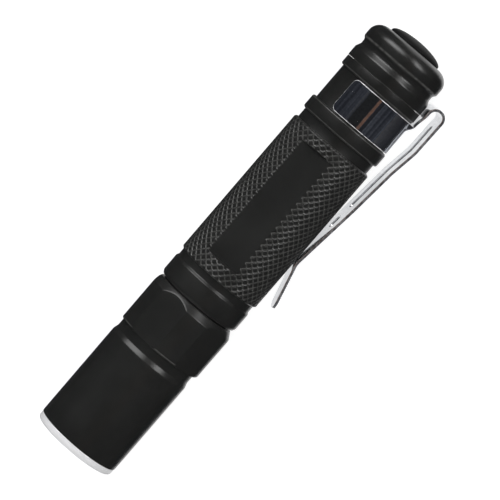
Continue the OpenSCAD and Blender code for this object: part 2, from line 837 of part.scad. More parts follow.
module tail_cap() {
    shoulder = [for (p = arc([0, 0], 1, 0, 90))
        [shoulder_r + (body_r - shoulder_r) * p.x, shoulder_z + shoulder_h * p.y]];
    color([0.06, 0.06, 0.06]) turned(concat(
        [
            [switch_bore_r, spigot_z], [spigot_r - edge, spigot_z], [spigot_r, spigot_z + edge],
            [spigot_r, tail_seal_z - seal_half], [tail_root_r, tail_seal_z - seal_half],
            [tail_root_r, tail_seal_z + seal_half], [spigot_r, tail_seal_z + seal_half],
            [spigot_r, tail_z], [body_r - edge, tail_z], [body_r, tail_z + edge],
            [body_r, tail_ramp_z], [tail_groove_r, tail_groove_z], [tail_groove_r, tail_top_z],
            [body_r - edge, tail_top_z], [body_r, tail_top_z + edge]
        ],
        shoulder,
        [[mouth_r, tail_end_z], [mouth_r, lip_z], [switch_bore_r, lip_z]]
    ));
}

module switch_ring() {
    color("goldenrod") sleeve(switch_r, switch_r - switch_ring_w, switch_ring_z, tail_board_z);
}

module tail_board() {
    color("darkgreen") disc(switch_r, tail_board_z, housing_z);
}

module tail_spring() {
    color("silver") wire(tail_coil, tail_wire_d);
}

module switch_housing() {
    inner_r = switch_r - housing_wall;
    guide_r = plunger_r + plunger_play;
    color([0.12, 0.12, 0.13]) turned([
        [0, housing_z], [switch_r, housing_z], [switch_r, housing_end_z],
        [guide_r, housing_end_z], [guide_r, roof_z], [inner_r, roof_z],
        [inner_r, floor_z], [0, floor_z]
    ]);
}

module switch_contacts() {
    reach = switch_r - housing_wall - blade_t;
    for (side = [-1, 1])
        color("gold") lay()
            translate([-blade_w / 2, side * (reach - blade_t) - blade_t / 2, floor_z])
                cube([blade_w, blade_t, blade_l]);
}

module switch_plunger() {
    flange_end_z = plunger_flange_z + plunger_flange_t;
    color("white") turned([
        [0, plunger_flange_z], [plunger_r + plunger_flange_w, plunger_flange_z],
        [plunger_r + plunger_flange_w, flange_end_z], [plunger_r, flange_end_z],
        [plunger_r, button_z - edge], [plunger_r - edge, button_z], [0, button_z]
    ]);
}

module switch_spring() {
    color("silver") wire(switch_coil, switch_wire_d);
}

module boot_button() {
    dome = [for (p = arc([0, 0], 1, 0, 90))
        [button_r * p.x, button_edge_z + button_dome_h * p.y]];
    inner_r = button_r - button_wall;
    roof = button_edge_z - button_wall / 2;
    color([0.1, 0.1, 0.1]) turned(concat(
        [
            [inner_r, button_z], [button_flange_r, button_z], [button_flange_r, button_skirt_z],
            [button_r, button_skirt_z]
        ],
        dome,
        [[0, button_z], [plunger_r, button_z], [plunger_r, roof], [inner_r, roof]]
    ));
}

// Cuts the square corner off a band's end, where the sheet ends at the given angle
module band_corner(angle, along, up) {
    z = up > 0 ? band_end_z - clip_corner : band_z + clip_corner;
    lay() rotate([0, 0, angle]) translate([band_r - over, along * clip_corner, z])
        rotate([90, 0, 90]) linear_extrude(clip_t + 2 * over) difference() {
            translate([along > 0 ? -over - clip_corner : 0, up > 0 ? 0 : -over - clip_corner])
                square(over + clip_corner);
            circle(r = clip_corner);
        }
}

module clip_band() {
    step_z = band_end_z - clip_step_l + clip_side_play;
    path = concat(
        [
            [band_r + half_t, step_z - clip_step_l], [band_r + half_t, step_z],
            [leg_r, step_z + clip_step_l]
        ],
        arc([bend_r, bend_z], clip_bend_r, 180, 90 + flex_angle)
    );
    from = 90 - clip_wrap / 2;
    to = 90 + clip_wrap / 2;
    color("lightgray") union() {
        difference() {
            lay() translate([0, 0, band_z]) rotate([0, 0, from])
                rotate_extrude(angle = clip_wrap) translate([band_r, 0]) square([clip_t, band_l]);
            for (up = [-1, 1]) {
                band_corner(from, 1, up);
                band_corner(to, -1, up);
            }
        }
        strip(sheet(path), clip_w);
    }
}

module clip_arm() {
    path = concat(
        arc([bend_r, bend_z], clip_bend_r, 90, 0),
        rounded([arm_r, bend_z], crest, knee, clip_arm_round),
        rounded(crest, knee, heel, clip_arm_round),
        rounded(knee, heel, tip, clip_heel_round),
        [tip]
    );
    tip_z = tip.y - half_t;
    tip_r = clip_tip_w / 2;
    half_w = clip_w / 2;
    color("lightgray") union() {
        difference() {
            intersection() {
                strip(sheet(path), clip_w);
                through_clip() polygon(concat(
                    [[half_w, slot_z], [half_w, flex_z + clip_t], [-half_w, flex_z + clip_t]],
                    [[-half_w, slot_z], [-clip_heel_w / 2, heel.y]],
                    arc([0, tip_z + tip_r], tip_r, 180, 360),
                    [[clip_heel_w / 2, heel.y]]
                ));
            }
            through_clip() {
                slot_plan(slot_z, slot_long_l);
                slot_plan(short_slot_z, slot_short_l);
            }
        }
        lay() translate([-half_w, bend_r, flex_z]) rotate([0, 90, 0])
            cylinder(d = clip_t, h = clip_w);
    }
}

bezel_ring();
lens();
lens_seal();
reflector();
led_spacer();
led_dome();
led_package();
led_board();
led_pill();
led_wires();
driver_board();
driver_coil();
driver_chips();
contact_button();
head_shell();
head_o_ring();
body_tube();
battery_can();
battery_jacket();
battery_cap();
battery_washer();
tail_o_ring();
tail_cap();
switch_ring();
tail_board();
tail_spring();
switch_housing();
switch_contacts();
switch_plunger();
switch_spring();
boot_button();
clip_band();
clip_arm();
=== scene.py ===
"""Looks of a pocket penlight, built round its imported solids.

Shapes are worked out standing on the front face, in millimetres: z runs back along the
axis to the tail and y points to the clip. to_row() lays them down where the solids lie.
"""

import json
import math

import bmesh
import bpy
import numpy as np
from bpy.props import FloatProperty, FloatVectorProperty, IntProperty, PointerProperty
from mathutils import Matrix, Vector


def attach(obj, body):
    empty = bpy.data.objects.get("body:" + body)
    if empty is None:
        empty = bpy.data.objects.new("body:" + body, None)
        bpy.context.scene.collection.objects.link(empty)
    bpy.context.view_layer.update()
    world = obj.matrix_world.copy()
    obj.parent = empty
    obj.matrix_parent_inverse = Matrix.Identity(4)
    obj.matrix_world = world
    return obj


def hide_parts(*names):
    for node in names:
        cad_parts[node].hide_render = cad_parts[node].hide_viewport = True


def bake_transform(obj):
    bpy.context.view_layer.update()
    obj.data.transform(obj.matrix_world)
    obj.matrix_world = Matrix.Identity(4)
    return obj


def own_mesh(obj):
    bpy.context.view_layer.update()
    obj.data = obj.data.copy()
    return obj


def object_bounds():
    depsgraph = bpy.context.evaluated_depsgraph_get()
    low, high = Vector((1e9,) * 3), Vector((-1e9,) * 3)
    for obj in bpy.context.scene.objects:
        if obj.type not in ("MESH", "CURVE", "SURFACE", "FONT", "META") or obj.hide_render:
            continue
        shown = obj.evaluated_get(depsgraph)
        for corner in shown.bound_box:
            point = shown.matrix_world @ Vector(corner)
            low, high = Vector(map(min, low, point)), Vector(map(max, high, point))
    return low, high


bl_info = {
    "name": "Pocket penlight",
    "version": (1, 0, 0),
    "blender": (4, 5, 0),
    "location": "3D View > Sidebar > Penlight",
    "description": "Builds the looks of a knurled pocket penlight round its solids",
    "category": "Object",
}

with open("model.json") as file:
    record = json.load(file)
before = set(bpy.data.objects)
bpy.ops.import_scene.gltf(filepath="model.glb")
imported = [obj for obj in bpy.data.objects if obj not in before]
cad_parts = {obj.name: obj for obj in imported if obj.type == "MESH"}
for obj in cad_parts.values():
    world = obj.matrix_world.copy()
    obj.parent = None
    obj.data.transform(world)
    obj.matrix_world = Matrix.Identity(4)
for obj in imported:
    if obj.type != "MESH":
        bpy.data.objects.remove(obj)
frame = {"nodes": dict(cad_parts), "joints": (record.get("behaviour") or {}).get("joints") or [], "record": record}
CAD_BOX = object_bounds()
NODES = frame["nodes"]
JOINTS = {joint["name"]: joint for joint in frame["joints"]}

MM = 0.001
TURN = 2 * math.pi
TINY = 1e-9
# The flex line of the clip gives the roll at which the light lies on the table
FLEX_AXIS = JOINTS["clip_flex"]["axis"]
LIE = math.atan2(FLEX_AXIS[1], FLEX_AXIS[2])

# Outlines of the turned pieces: radius, place along the axis and rounding of each corner
BEZEL = np.array([
    (5.7, 0, 0.06), (6.95, 0, 0.5), (6.95, 1.15, 0.05), (6.45, 1.15, 0), (6.45, 4.0, 0.05),
    (6.05, 4.0, 0.05), (6.05, 0.9, 0), (5.4, 0.9, 0.03), (5.4, 0.3, 0.06),
])
HEAD = np.array([
    (6.5, 1.15, 0.03), (7.0, 1.15, 0.1), (7.0, 17.4, 0.14), (6.75, 18.2, 0.1),
    (6.75, 19.65, 0.05), (7.08, 19.65, 0.06), (7.3295, 19.9, 0.12), (7.3295, 27.1, 0.06),
    (6.63, 28.3, 0.06), (6.2, 28.3, 0.05), (6.2, 27.2, 0), (6.0, 27.2, 0),
    (6.0, 23.35, 0), (5.65, 23.35, 0.05), (5.65, 4.08, 0.05), (6.5, 4.08, 0),
])
TUBE_FRONT = np.array([
    (5.35, 23.4, 0.05), (5.95, 23.4, 0.12), (5.95, 27.2, 0.03), (6.15, 27.2, 0.06),
    (6.15, 27.645, 0.04), (5.64, 27.645, 0.06), (5.64, 28.205, 0.06), (6.15, 28.205, 0.04),
    (6.15, 28.65, 0.03), (6.75, 28.65, 0.08), (7.0, 29.1, 0.12), (7.0, 31.9, 0.1),
    (6.77, 32.25, 0.08), (6.77, 33.4, 0.03), (6.87, 33.4, 0.03), (7.12, 33.65, 0.06),
])
TUBE_BACK = np.array([
    (7.12, 59.103, 0.06), (6.87, 59.353, 0.03), (6.63, 59.353, 0.03), (6.63, 61.003, 0.03),
    (6.85, 61.003, 0.06), (7.05, 61.203, 0.1), (7.05, 63.153, 0.1), (6.85, 63.353, 0.06),
    (6.5, 63.353, 0.04), (6.5, 69.453, 0.04), (6.75, 69.453, 0.05), (6.95, 69.653, 0.1),
    (6.95, 71.103, 0.06), (5.9, 71.103, 0.05), (5.9, 66.703, 0), (5.35, 66.703, 0.05),
])
SHOULDER = np.linspace(0, math.pi / 2, 25)[1:-1, None]
TAIL_CAP = np.vstack([
    [
        (4.9, 66.753, 0.05), (5.85, 66.753, 0.12), (5.85, 70.373, 0.04), (5.34, 70.373, 0.06),
        (5.34, 70.933, 0.06), (5.85, 70.933, 0.04), (5.85, 71.153, 0.03), (7.0, 71.153, 0.08),
        (7.0, 72.803, 0.16), (6.6, 73.603, 0.2), (6.62, 74.43, 0.25), (7.0, 74.78, 0.3),
        (7.0, 75.903, 0),
    ],
    np.hstack([
        4.65 + 2.35 * np.cos(SHOULDER), 75.903 + 2.05 * np.sin(SHOULDER), 0 * SHOULDER
    ]),
    [(4.65, 77.953, 0.02), (4.6, 77.953, 0.02), (4.6, 76.653, 0.03), (4.9, 76.653, 0)],
])
DOME = np.linspace(math.pi / 2, 0, 33)[1:, None]
BUTTON = np.vstack([
    [(0, 79.303, 0)],
    np.hstack([4.47 * np.cos(DOME), 78.103 + 1.2 * np.sin(DOME), 0 * DOME]),
    [
        (4.47, 76.553, 0.06), (4.8, 76.553, 0.1), (4.8, 75.853, 0.1), (3.57, 75.853, 0.08),
        (3.57, 77.653, 0.2), (1.9, 77.653, 0.1), (1.9, 75.853, 0.06), (0, 75.853, 0),
    ],
])
FOCAL = 0.82642
BOWL = np.linspace(5.2, 1.75, 49)[:, None]
REFLECTOR = np.vstack([
    np.hstack([BOWL, 2.9 + (5.2 ** 2 - BOWL ** 2) / (4 * FOCAL), 0 * BOWL]),
    [
        (3.15, 10.153, 0.1), (5.55, 4.3, 0.2), (5.55, 3.6, 0.03), (6.0, 3.6, 0.05),
        (6.0, 2.9, 0.05),
    ],
])

# Stretches along the axis that get finer rings: first place, last place, distance of rings
HEAD_FINE = ((19.6, 28.35, 0.12),)
TUBE_FINE = ((23.5, 27.15, 0.1),)
TAIL_FINE = ((66.8, 70.3, 0.1),)
# Other fineness: points of a rounded corner, widest and closest rings of an outline, columns
# round the axis, closest columns, and the angle past which an edge shows sharp
CORNER_POINTS, TUBE_CORNER_POINTS, BEND_POINTS = 5, 4, 9
WIDEST, CLOSEST = 3.0, 0.006
HEAD_COLUMNS, RING_COLUMNS, BOWL_COLUMNS, BUTTON_COLUMNS, SEAL_COLUMNS = 360, 224, 192, 160, 144
CLOSEST_COLUMNS = 2e-4
SHARP, TUBE_SHARP, WIRE_SHARP, CLIP_SHARP = 32, 24, 50, 40

# An edge gets wear and a painted glint where the sine of its turn outwards and its rounding are more than these
WORN_GLINT_TURN, WORN_GLINT_ROUNDING = 0.6, 0.015

# Five flats on the head and two panels on the tube: angles round the axis, distance from it,
# and the radius above which they cut the outline
FLATS = np.radians(180 + 72 * np.arange(5))
FLAT_R, FLAT_ABOVE = 6.87, 6.5
FLAT_HALF = math.acos(FLAT_R / 7.33)
FLAT_SPAN = (19.6, 28.4)
# Columns beside a flat's border, and how far from its middle a flat is looked for
FLAT_BORDER = np.radians(np.linspace(-1.5, 1.5, 7))
FLAT_REACH = 1.2
PANELS = np.radians(np.array([-23.6, 156.4]))
PANEL_R = 6.46
PANEL_SPAN = (35.7, 57.55)
# Ends of the panels: half the length of the step, length of the slope, its height and its power
PANEL_STEP, PANEL_SLOPE, PANEL_RISE, PANEL_CURVE = 0.01, 0.3, 0.7, 0.6

# Knurl: where it lies, rings to a diamond, columns to a groove, and how many times steeper a
# groove's flank is than one that fills the whole diamond
KNURL_SPAN, KNURL_ABOVE = (33.4, 59.36), 6.8
KNURL_FROM, KNURL_TO, KNURL_R = 33.65, 59.1, 7.12
KNURL_RINGS, KNURL_COLUMNS, KNURL_STEEP = 12, 6, 3.0

# Screw threads: stretch along the axis, radius of the crest and pitch. Crests and roots are cut
# flat where the wave passes 0 and 1
NOSE_THREAD = ((23.5, 27.1), 5.95, 0.8)
SPIGOT_THREAD = ((66.9, 70.3), 5.85, 0.75)
THREAD_HIGH, THREAD_STEEP = 1.25, 1.5
# Places closer than this, in millimetres, and points closer than this, in metres, are the same
SAME, SAME_POINT = 0.02, 2e-7

# Round seals: radius of the ring, place, cord and body
SEALS = {
    "lens_seal": (5.6, 2.5, 0.8, "head"),
    "head_o_ring": (5.92, 27.925, 0.5, "head_seal"),
    "tail_o_ring": (5.62, 70.653, 0.5, "tail_seal"),
}
SEAL_SIDES = 24
# Springs: first and last radius, first and last place, turns, wire
SPRINGS = {
    "tail_spring": (2.0, 3.0, 64.403, 67.303, 3, 0.5),
    "switch_spring": (2.0, 2.0, 69.303, 72.243, 3.5, 0.3),
}
WIRE_SIDES, WIRE_STEPS = 12, 40

# Clip, at the middle of its sheet
CLIP_T = 0.42
BAND_R, BAND_Z, BAND_END, BAND_HALF, BAND_CORNER = 6.76, 63.528, 69.278, 135.8, 0.85
LEG_R, LIFT_FROM, LIFT_LENGTH, LIFT_FADE, LEG_BOWED = 7.46, 67.9, 1.45, 1.1, 2.9
BEND_R, BEND_Z, BEND_TURN = 8.72, 72.223, 1.26
ARM = np.array([
    (9.98, 72.223, 0), (9.88, 66.323, 0.36), (9.18, 61.923, 0.18), (7.41, 42.423, 0.53),
    (9.31, 35.123, 0), (9.42, 34.7, 0),
])
ARM_HALF = 2.5
ARM_WIDTHS = np.array([(36.213, 1.3), (42.423, 1.5), (53.92, 2.5), (72.3, 2.5)])
TIP_Z, TIP_R, TIP_TURN = 36.213, 1.3, math.radians(84)
SLOTS = ((53.92, 71.12), (49.72, 52.12))
SLOT_HALF = 0.6
# Shares of the band's length at which its rows lie, columns of each of its sides and corners,
# and shares of half the strip's width at which columns lie
BAND_ROWS = np.concatenate([[0, 0.025], np.linspace(0.05, 0.95, 22), [0.975, 1]])[:, None]
BAND_SIDE_COLUMNS, BAND_CORNER_COLUMNS = 40, 7
ACROSS = np.array([0, 0.05, 0.25, 0.5, 0.75, 0.95, 1])
LEG_ROWS, BEND_ROWS, ARM_ROWS, TIP_ROWS, SLOT_END_ROWS = 12, 24, 110, 12, 8
# Wear and painted highlight of the strip's cut edges beside the band's, which is 1
STRIP_WEAR_AND_GLINT = 0.2
# Rounding of the sheet's rim: segments, and the angle past which an edge is rounded
RIM_SEGMENTS, RIM_ANGLE = 3, math.radians(60)


def length_property(name, description, default, least=0.0):
    """Property of a length, given here in millimetres."""
    return FloatProperty(
        name=name, description=description, default=default * MM, min=least * MM, precision=5,
        unit="LENGTH"
    )


def colour_property(name, description, default):
    """Property of a colour."""
    return FloatVectorProperty(
        name=name, description=description, subtype="COLOR", default=default, min=0, max=1
    )


def power_property(name, description, default):
    """Property of a lamp's power."""
    return FloatProperty(name=name, description=description, default=default, min=0, unit="POWER")


class PenlightSizes(bpy.types.PropertyGroup):
    """Sizes of the fine forms that the solids leave plain"""

    knurl_starts: IntProperty(
        name="Knurl starts", description="Grooves of each hand round the tube", default=36, min=12
    )
    knurl_pitch: length_property("Knurl pitch", "Length of a diamond", 1.15, least=0.1)
    knurl_depth: length_property("Knurl depth", "Depth of the knurl's grooves", 0.12)
    thread_depth: length_property("Thread depth", "Depth of the screw threads", 0.28)
    clip_edge: length_property("Clip edge", "Rounding on the edges of the clip's sheet", 0.1)


class PenlightFinish(bpy.types.PropertyGroup):
    """Colours of the surfaces that show"""

    anodise: colour_property("Anodise", "Black anodised aluminium", (0.0098, 0.0098, 0.0093))
    # Lighter tone for worn edges, which also serves as a painted glint on edges and knurl grooves
    anodise_worn_and_glint: colour_property("Anodise wear and glint", "Edges and knurled grooves", (0.11, 0.11, 0.105))
    bare: colour_property("Bare aluminium", "Front ring", (0.88, 0.88, 0.89))
    steel: colour_property("Clip steel", "Bright plated clip", (0.80, 0.81, 0.83))
    rubber: colour_property("Button rubber", "Rubber of the button", (0.006, 0.006, 0.006))


class PenlightStudio(bpy.types.PropertyGroup):
    """Camera and lamps"""

    lens: FloatProperty(
        name="Lens", description="Focal length on a sensor 36 mm wide", default=200, min=20
    )
    distance: length_property("Distance", "Camera to the middle of the light", 414, least=50)
    side_power: power_property("Side lamps", "Power of each soft lamp", 6.5)
    ambient: FloatProperty(
        name="Ambient", description="Level of the light from all round", default=0.55, min=0
    )
    front_power: power_property("Front lamp", "Power of the soft lamp over the head", 0.024)


def to_row(points):
    """Standing millimetres to the row's metres: z turns into -X, then the roll about X by LIE."""
    x, y, z = np.moveaxis(np.asarray(points, float), -1, 0)
    c, s = math.cos(LIE), math.sin(LIE)
    return np.stack([-z, y * c + x * s, x * c - y * s], axis=-1) * MM


def ease(t):
    """Smooth step from 0 to 1: three t squared less two t cubed."""
    t = np.clip(t, 0, 1)
    return t * t * (3 - 2 * t)


def saw(t):
    """Triangle wave of period 1, 0 at whole numbers and 1 half way."""
    return 1 - np.abs(2 * (t - np.floor(t)) - 1)


def within(z, span):
    """True where a place lies inside a stretch of the axis."""
    return (z > span[0]) & (z < span[1])


def rounded(corners, closed=True, count=CORNER_POINTS):
    """Outline with each corner replaced by a parabola that starts and ends its rounding away
    from the corner. Also gives the mask of edge wear and painted glint: 1 in the middle of
    each outward rounding, else 0."""
    points, size = corners[:, :2], corners[:, 2:3]
    before, after = np.roll(points, 1, 0) - points, np.roll(points, -1, 0) - points
    reach = [np.linalg.norm(v, axis=1, keepdims=True) for v in (before, after)]
    before, after = before / np.maximum(reach[0], TINY), after / np.maximum(reach[1], TINY)
    # Two roundings on one edge leave a little of it straight
    size = np.minimum(size, 0.49 * np.minimum(*reach))
    if not closed:
        size[[0, -1]] = 0
    t = np.linspace(0, 1, count)[None, :, None]
    start, end = points + before * size, points + after * size
    arcs = start[:, None] * (1 - t) ** 2 + 2 * points[:, None] * t * (1 - t) + end[:, None] * t ** 2
    r, z = points.T
    area = np.sum(r * np.roll(z, -1) - z * np.roll(r, -1))
    turn = (before[:, 0] * after[:, 1] - before[:, 1] * after[:, 0]) * -np.sign(area)
    bulge = 4 * t[..., 0] * (1 - t[..., 0])
    wear = np.where(turn[:, None] > WORN_GLINT_TURN, bulge * (size > WORN_GLINT_ROUNDING), 0)
    out, wear = arcs.reshape(-1, 2), wear.reshape(-1)
    keep = np.linalg.norm(out - np.roll(out, 1, 0), axis=1) > CLOSEST
    if not closed:
        keep[0] = True
    return out[keep], wear[keep]


def resampled(outline, wear, fine, closed):
    """Adds points on the straight stretches, so that no two lie further apart than WIDEST, or
    than the distance given for the stretch of z they lie in. The mask of wear and painted
    glint fades from the corners."""
    nxt = np.roll(outline, -1, 0)
    middle = (outline[:, 1] + nxt[:, 1]) / 2
    step = np.full(len(outline), WIDEST)
    for low, high, distance in fine:
        step[(middle > low) & (middle < high)] = distance
    count = np.maximum(1, np.ceil(np.linalg.norm(nxt - outline, axis=1) / step)).astype(int)
    if not closed:
        count[-1] = 1
    which = np.repeat(np.arange(len(outline)), count)
    share = np.arange(count.sum()) - np.repeat(np.cumsum(count) - count, count)
    share = (share / count[which])[:, None]
    points = outline[which] * (1 - share) + nxt[which] * share
    return points, np.where(share[:, 0] > 0, 0, wear[which])


def outline_of(corners, fine=(), closed=True, count=CORNER_POINTS):
    """Rounded outline with its extra points: radii and places as columns, and its mask of edge wear and painted
    glint.
    """
    points, wear = resampled(*rounded(corners, closed, count), fine, closed)
    return points[:, :1], points[:, 1:], wear[:, None]


def columns(count, marks=()):
    """Angles round the axis: count even ones and the marked ones, in order, none twice."""
    even = np.linspace(0, TURN, count, endpoint=False)
    every = np.sort(np.concatenate([even, np.mod(np.asarray(marks, float), TURN)]))
    return every[np.concatenate([[True], np.diff(every) > CLOSEST_COLUMNS])]


def flat_limit(angle, centres, distance):
    """Radius at which a ray at this angle meets the nearest of the flats round the axis:
    distance over the cosine of the angle from that flat's middle."""
    off = np.mod(angle[..., None] - centres + math.pi, TURN) - math.pi
    near = np.min(np.abs(off), axis=-1)
    return np.where(near < FLAT_REACH, distance / np.cos(np.minimum(near, FLAT_REACH)), np.inf)


def threaded(radius, r, z, angle, thread):
    """Cuts a right-hand thread where the outline lies on its crest: a triangle wave of z over
    the pitch less the share of a turn, with crest and root cut flat, times the depth."""
    span, crest, pitch = thread
    depth = bpy.context.scene.penlight_sizes.thread_depth / MM
    wave = np.clip(THREAD_HIGH - THREAD_STEEP * saw(z / pitch - angle / TURN), 0, 1)
    return np.where(within(z, span) & (np.abs(r - crest) < SAME), crest - depth * wave, radius)


def swept(r, z, angle):
    """Rings of radius r and place z, one row each, carried round the axis."""
    r, z, angle = np.broadcast_arrays(r, z, angle)
    return np.stack([r * np.cos(angle), r * np.sin(angle), z], axis=-1)


def quads(index):
    """Four corners of every cell of a grid of vertex numbers."""
    return np.stack(
        [index[:-1, :-1], index[:-1, 1:], index[1:, 1:], index[1:, :-1]], axis=-1
    ).reshape(-1, 4)


def grid_faces(rows, cols, wrap_rows, roll=0):
    """Cells of a grid whose last column joins its first. Its last row may join its first too,
    moved on by roll columns."""
    index = np.arange(rows * cols).reshape(rows, cols)
    if wrap_rows:
        index = np.vstack([index, np.roll(index[:1], roll)])
    return quads(np.hstack([index, index[:, :1]]))


def outward(points, faces):
    """Turns the faces round if the volume that they enclose comes out negative."""
    a, b, c, d = (points[faces[:, k]] for k in range(4))
    volume = np.sum(a * np.cross(b, c)) + np.sum(a * np.cross(c, d))
    return faces if volume > 0 else faces[:, ::-1]


def put(name, points, faces, ends=(), wear=None, sharp=SHARP):
    """New object at the origin from points in the row's metres, faces of four and end faces."""
    mesh = bpy.data.meshes.new(name)
    mesh.from_pydata(points.tolist(), [], faces.tolist() + list(ends))
    mesh.validate()
    if wear is not None:
        mesh.attributes.new("wear", "FLOAT", "POINT").data.foreach_set(
            "value", np.asarray(wear, np.float32).ravel()
        )
    mesh.shade_smooth()
    mesh.set_sharp_from_angle(angle=math.radians(sharp))
    made = bpy.data.objects.new(name, mesh)
    bpy.context.scene.collection.objects.link(made)
    return made


def mended(mesh, merge=False):
    """Turns a mesh's faces outwards, after merging the points that are the same if asked to."""
    shape = bmesh.new()
    shape.from_mesh(mesh)
    if merge:
        bmesh.ops.remove_doubles(shape, verts=shape.verts, dist=SAME_POINT)
    bmesh.ops.recalc_face_normals(shape, faces=shape.faces)
    shape.to_mesh(mesh)
    shape.free()


def stand_for(made, solid, slot, body):
    """The new piece rides on its body, stands for its solid and takes the slot's finish."""
    made.data.materials.append(finish(slot))
    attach(made, body)
    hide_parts(solid)


def turned_piece(name, rings, wear, closed=True, sharp=SHARP, roll=0):
    """Mesh of rings carried round the axis. A closed outline joins its last ring to its first;
    an open one starts and ends on the axis, where each end ring shrinks to one point."""
    count, cols = rings.shape[:2]
    points = to_row(rings.reshape(-1, 3))
    wear = np.broadcast_to(wear, (count, cols)).reshape(-1)
    faces = outward(points, grid_faces(count, cols, closed, roll))
    made = put(name, points, faces, wear=wear, sharp=sharp)
    if not closed:
        mended(made.data, merge=True)
        made.data.set_sharp_from_angle(angle=math.radians(sharp))
    return made


def plain_turned(name, corners, count, closed=True):
    """Piece turned from an outline, with count columns and nothing cut into it."""
    r, z, wear = outline_of(corners, closed=closed)
    return turned_piece(name, swept(r, z, columns(count)), wear, closed)


def feed(tree, made, inputs):
    """Sets inputs of a node to values, or links them to sockets."""
    for key, value in inputs.items():
        if isinstance(value, bpy.types.NodeSocket):
            tree.links.new(value, made.inputs[key])
        else:
            made.inputs[key].default_value = value


def node(tree, kind, inputs=None, **settings):
    """New shader node with its settings and inputs."""
    made = tree.nodes.new(kind)
    for key, value in settings.items():
        setattr(made, key, value)
    feed(tree, made, inputs or {})
    return made


def maths(tree, operation, a, b=0.0, c=0.0):
    """Result of one sum on values or sockets."""
    return node(tree, "ShaderNodeMath", {0: a, 1: b, 2: c}, operation=operation).outputs[0]


def added(tree, base, extra, share):
    """Base plus a share of something extra."""
    return maths(tree, "MULTIPLY_ADD", extra, share, base)


def mixed(tree, share, a, b):
    """Colour a, going over to colour b as share goes from 0 to 1."""
    a, b = (end if isinstance(end, bpy.types.NodeSocket) else (*end, 1) for end in (a, b))
    return node(tree, "ShaderNodeMix", {0: share, 6: a, 7: b}, data_type="RGBA").outputs[2]


def ramp(tree, value, low, high, to_low=0.0, to_high=1.0):
    """Value between low and high turned smoothly into a value between to_low and to_high."""
    return node(
        tree, "ShaderNodeMapRange", {0: value, 1: low, 2: high, 3: to_low, 4: to_high},
        interpolation_type="SMOOTHSTEP"
    ).outputs[0]


def place_on(tree):
    """Place on the piece, in the piece's own coordinates."""
    return tree.nodes.new("ShaderNodeTexCoord").outputs["Object"]


def noise(tree, place, scale, detail, rough=0.5):
    """Value of a noise at a place."""
    return node(tree, "ShaderNodeTexNoise", {
        "Vector": place, "Scale": scale, "Detail": detail, "Roughness": rough
    }).outputs[0]


def relief(tree, height, strength, distance):
    """Normal of a surface that stands out by a height times a distance in metres."""
    return node(tree, "ShaderNodeBump", {
        "Height": height, "Strength": strength, "Distance": distance
    }).outputs[0]


def group(name, inputs, outputs):
    """Empty shader group with named value sockets: its tree, what it is given and its end."""
    tree = bpy.data.node_groups.new(name, "ShaderNodeTree")
    for label, default in inputs.items():
        socket = tree.interface.new_socket(label, in_out="INPUT", socket_type="NodeSocketFloat")
        socket.default_value = default
    for label in outputs:
        tree.interface.new_socket(label, in_out="OUTPUT", socket_type="NodeSocketFloat")
    return tree, tree.nodes.new("NodeGroupInput").outputs, tree.nodes.new("NodeGroupOutput")


USUAL_PATCH = 180.0


def grain_group():
    """Fine grain of a blasted or moulded surface: two noises of the place on the piece, a fine
    one for the height and a coarse one that shifts the tone from patch to patch."""
    usual = {"Grain": 4000.0, "Patch": USUAL_PATCH}
    tree, given, out = group("Fine grain", usual, ["Height", "Tone"])
    place = place_on(tree)
    fine = noise(tree, place, given["Grain"], 2.0, 0.6)
    patch = noise(tree, place, given["Patch"], 4.0, 0.65)
    tone = added(tree, maths(tree, "MULTIPLY", fine, 0.4), patch, 0.6)
    feed(tree, out, {"Height": fine, "Tone": ramp(tree, tone, 0.3, 0.7)})
    return tree


def wear_and_glint_group():
    """Edge wear and painted glint: the piece's own mask attribute, broken up by a noise, times the amount."""
    tree, given, out = group("Edge wear", {"Amount": 0.5, "Breakup": 1500.0}, ["Mask"])
    edge = node(tree, "ShaderNodeAttribute", attribute_name="wear").outputs["Fac"]
    spots = noise(tree, place_on(tree), given["Breakup"], 3.0)
    rubbed_and_glint = maths(tree, "MULTIPLY", edge, ramp(tree, spots, 0.25, 0.7, 0.35, 1.0))
    feed(tree, out, {"Mask": maths(tree, "MULTIPLY", rubbed_and_glint, given["Amount"])})
    return tree


def marks_group():
    """Tool marks of the lathe: a noise of one value that runs along the outline, the place on
    the axis plus most of the distance from it, so that each mark is a ring."""
    tree, given, out = group("Turning marks", {"Marks": 9000.0}, ["Height"])
    x, y, z = node(tree, "ShaderNodeSeparateXYZ", {0: place_on(tree)}).outputs
    square = [maths(tree, "MULTIPLY", part, part) for part in (y, z)]
    radius = maths(tree, "SQRT", maths(tree, "ADD", *square))
    rings = node(tree, "ShaderNodeTexNoise", {
        "W": added(tree, x, radius, 0.83), "Scale": given["Marks"], "Detail": 2.0
    }, noise_dimensions="1D")
    feed(tree, out, {"Height": rings.outputs[0]})
    return tree


def scratch_group():
    """Hairline scratches: a noise stretched along the light, so that only thin lines pass."""
    tree, given, out = group("Hairlines", {"Lines": 3000.0}, ["Mask"])
    stretch = node(tree, "ShaderNodeMapping", {"Vector": place_on(tree), "Scale": (0.06, 1.0, 1.0)})
    lines = noise(tree, stretch.outputs[0], given["Lines"], 3.0)
    feed(tree, out, {"Mask": ramp(tree, lines, 0.56, 0.7)})
    return tree


GROUPS = {
    "grain": grain_group, "wear": wear_and_glint_group, "marks": marks_group, "scratch": scratch_group
}
BUILT, FINISHED = {}, {}


def effect(tree, name, **values):
    """One of the shared effects, placed in a material with its own values."""
    if name not in BUILT:
        BUILT[name] = GROUPS[name]()
    return node(tree, "ShaderNodeGroup", values, node_tree=BUILT[name]).outputs


